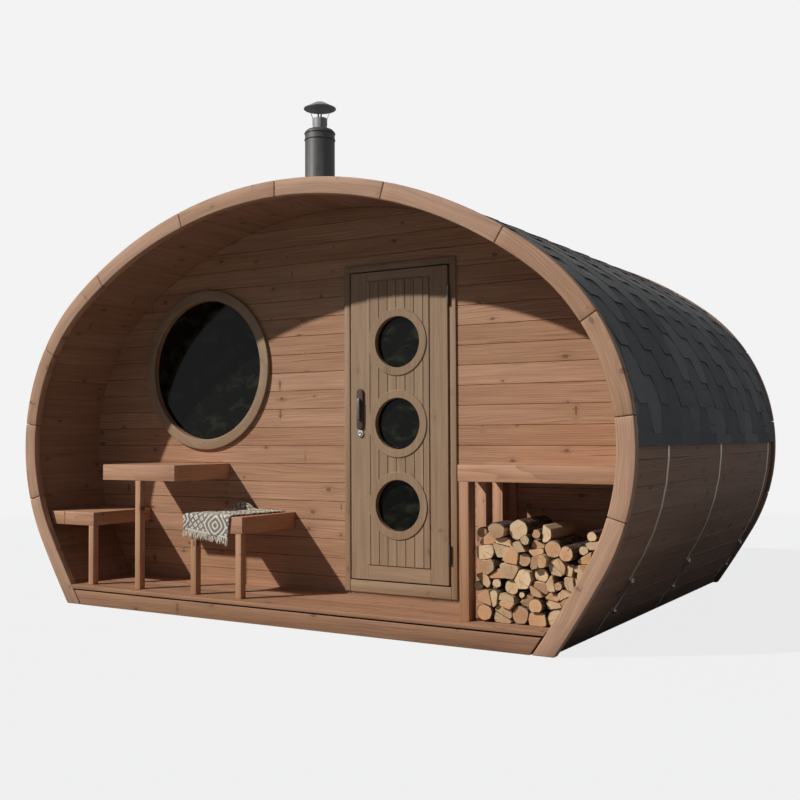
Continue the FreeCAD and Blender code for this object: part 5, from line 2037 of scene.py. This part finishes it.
    def build(self) -> None:
        """Make the throw and its fringe."""
        sheet = self.drape()
        points = points_of(sheet)
        chart = sheet.data.uv_layers[0].data
        hem: dict[int, float] = {}
        for loop in sheet.data.loops:
            spot = chart[loop.index].uv
            if spot.y < 1e-5:
                hem[loop.vertex_index] = spot.x
        order = sorted(hem, key=hem.get)
        finish_modifier(sheet, "SOLIDIFY", thickness=self.thickness, offset=1.0)
        only(sheet)
        bpy.ops.object.shade_smooth()
        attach(sheet, Body.CABIN.value)
        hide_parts("throw")
        dress(sheet, self.finishes.wool)
        fringe = self.fringe(points[order])


@dataclass
class Studio:
    """Camera, lights, floor and background."""

    eye: tuple[float, float, float] = (3.534, -5.956, 1.018)
    yaw: float = math.radians(31.27)
    pitch: float = math.radians(1.99)
    roll: float = math.radians(-0.27)
    lens: float = 47.24
    sun_heading: tuple[float, float, float] = (0.49, 0.59, -0.583)
    sun_power: float = 3.45
    sun_angle: float = math.radians(1.3)
    fill: float = 0.1
    fill_tint: Colour = (0.77, 1.03, 1.45)
    bounce: float = 0.29
    paper: float = 0.896
    floor_size: float = 120.0
    floor_drop: float = 0.0005
    fade: tuple[float, float] = (3.0, 9.0)
    least_glow: float = 0.9
    shade_across: tuple[float, float] = (1.5, 1.56)
    shade_along: tuple[float, float] = (1.4, 1.45)

    def camera(self) -> None:
        """Set the camera where the photograph was taken from."""
        data = bpy.data.cameras.new("photo_camera")
        data.lens = self.lens
        data.sensor_width = 36.0
        camera = bpy.data.objects.new("photo_camera", data)
        bpy.context.scene.collection.objects.link(camera)
        ahead = Vector((-math.sin(self.yaw) * math.cos(self.pitch), math.cos(self.yaw) * math.cos(self.pitch),
                        math.sin(self.pitch)))
        turn = ahead.to_track_quat("-Z", "Y").to_matrix().to_4x4()
        camera.matrix_world = Matrix.Translation(self.eye) @ turn @ Matrix.Rotation(self.roll, 4, "Z")
        bpy.context.scene.camera = camera

    def lights(self) -> None:
        """Add the sun and an even fill from all round."""
        data = bpy.data.lights.new("key_light", "SUN")
        data.energy = self.sun_power
        data.angle = self.sun_angle
        key = bpy.data.objects.new("key_light", data)
        bpy.context.scene.collection.objects.link(key)
        key.rotation_euler = Vector(self.sun_heading).to_track_quat("-Z", "Y").to_euler()
        world = bpy.data.worlds.new("studio")
        bpy.context.scene.world = world
        world.use_nodes = True
        n = Nodes(world.node_tree)
        rays = n.add("LightPath")
        seen = n.maths("MAXIMUM", n.out(rays, "Is Camera Ray"), n.out(rays, "Is Transmission Ray"))
        seen = n.maths("MAXIMUM", seen, n.out(rays, "Is Glossy Ray") * 0.5)
        sky = tuple(self.fill * share for share in self.fill_tint)
        n.feed(world.node_tree.nodes["Background"], {"Color": n.mix(seen, rgba(sky), rgba((self.paper,) * 3))})

    def floor(self) -> None:
        """Lay a wide pale floor that fades into the background and doesn't glow under the cabin."""
        start_clear()
        bpy.ops.mesh.primitive_plane_add(size=self.floor_size, location=(0.0, 0.0, -self.floor_drop))
        floor = fresh("studio_floor")
        material = bpy.data.materials.new("pale_floor")
        material.use_nodes = True
        n = Nodes(material.node_tree)
        shader = material.node_tree.nodes["Principled BSDF"]
        seen = n.out(n.add("LightPath"), "Is Camera Ray")
        n.feed(shader, {"Base Color": n.mix(seen, rgba((self.bounce,) * 3), rgba((0.8,) * 3)), "Roughness": 1.0,
                        "Specular IOR Level": 0.0})
        glow = n.add("Emission", {"Color": rgba((self.paper,) * 3), "Strength": 1.0})
        place = n.place()
        across, along, _height = n.parts(place)
        far = n.maths("MAXIMUM", n.between(n.vector("LENGTH", place), *self.fade), self.least_glow)
        outside = n.maths("MAXIMUM", n.between(abs(across), *self.shade_across),
                          n.between(abs(along), *self.shade_along))
        blend = n.add("MixShader", {0: far * seen * outside, 1: n.out(shader), 2: n.out(glow)})
        n.feed(material.node_tree.nodes["Material Output"], {"Surface": n.out(blend)})
        floor.data.materials.append(material)

    def build(self) -> None:
        """Set up the studio."""
        self.camera()
        self.lights()
        self.floor()
        bpy.context.scene.view_settings.view_transform = "Standard"


def main() -> None:
    """Build every sub-assembly in order and report it."""
    logging.basicConfig(level=logging.INFO, format="%(message)s")
    finishes = Finishes()
    for maker in (Throw(finishes), Shell(finishes), Walls(finishes), Door(finishes), Porch(finishes),
                  WoodStore(finishes), Chimney(finishes), Studio()):
        maker.build()
        log.info("%s: done", type(maker).__name__)


if __name__ == "__main__":
    main()
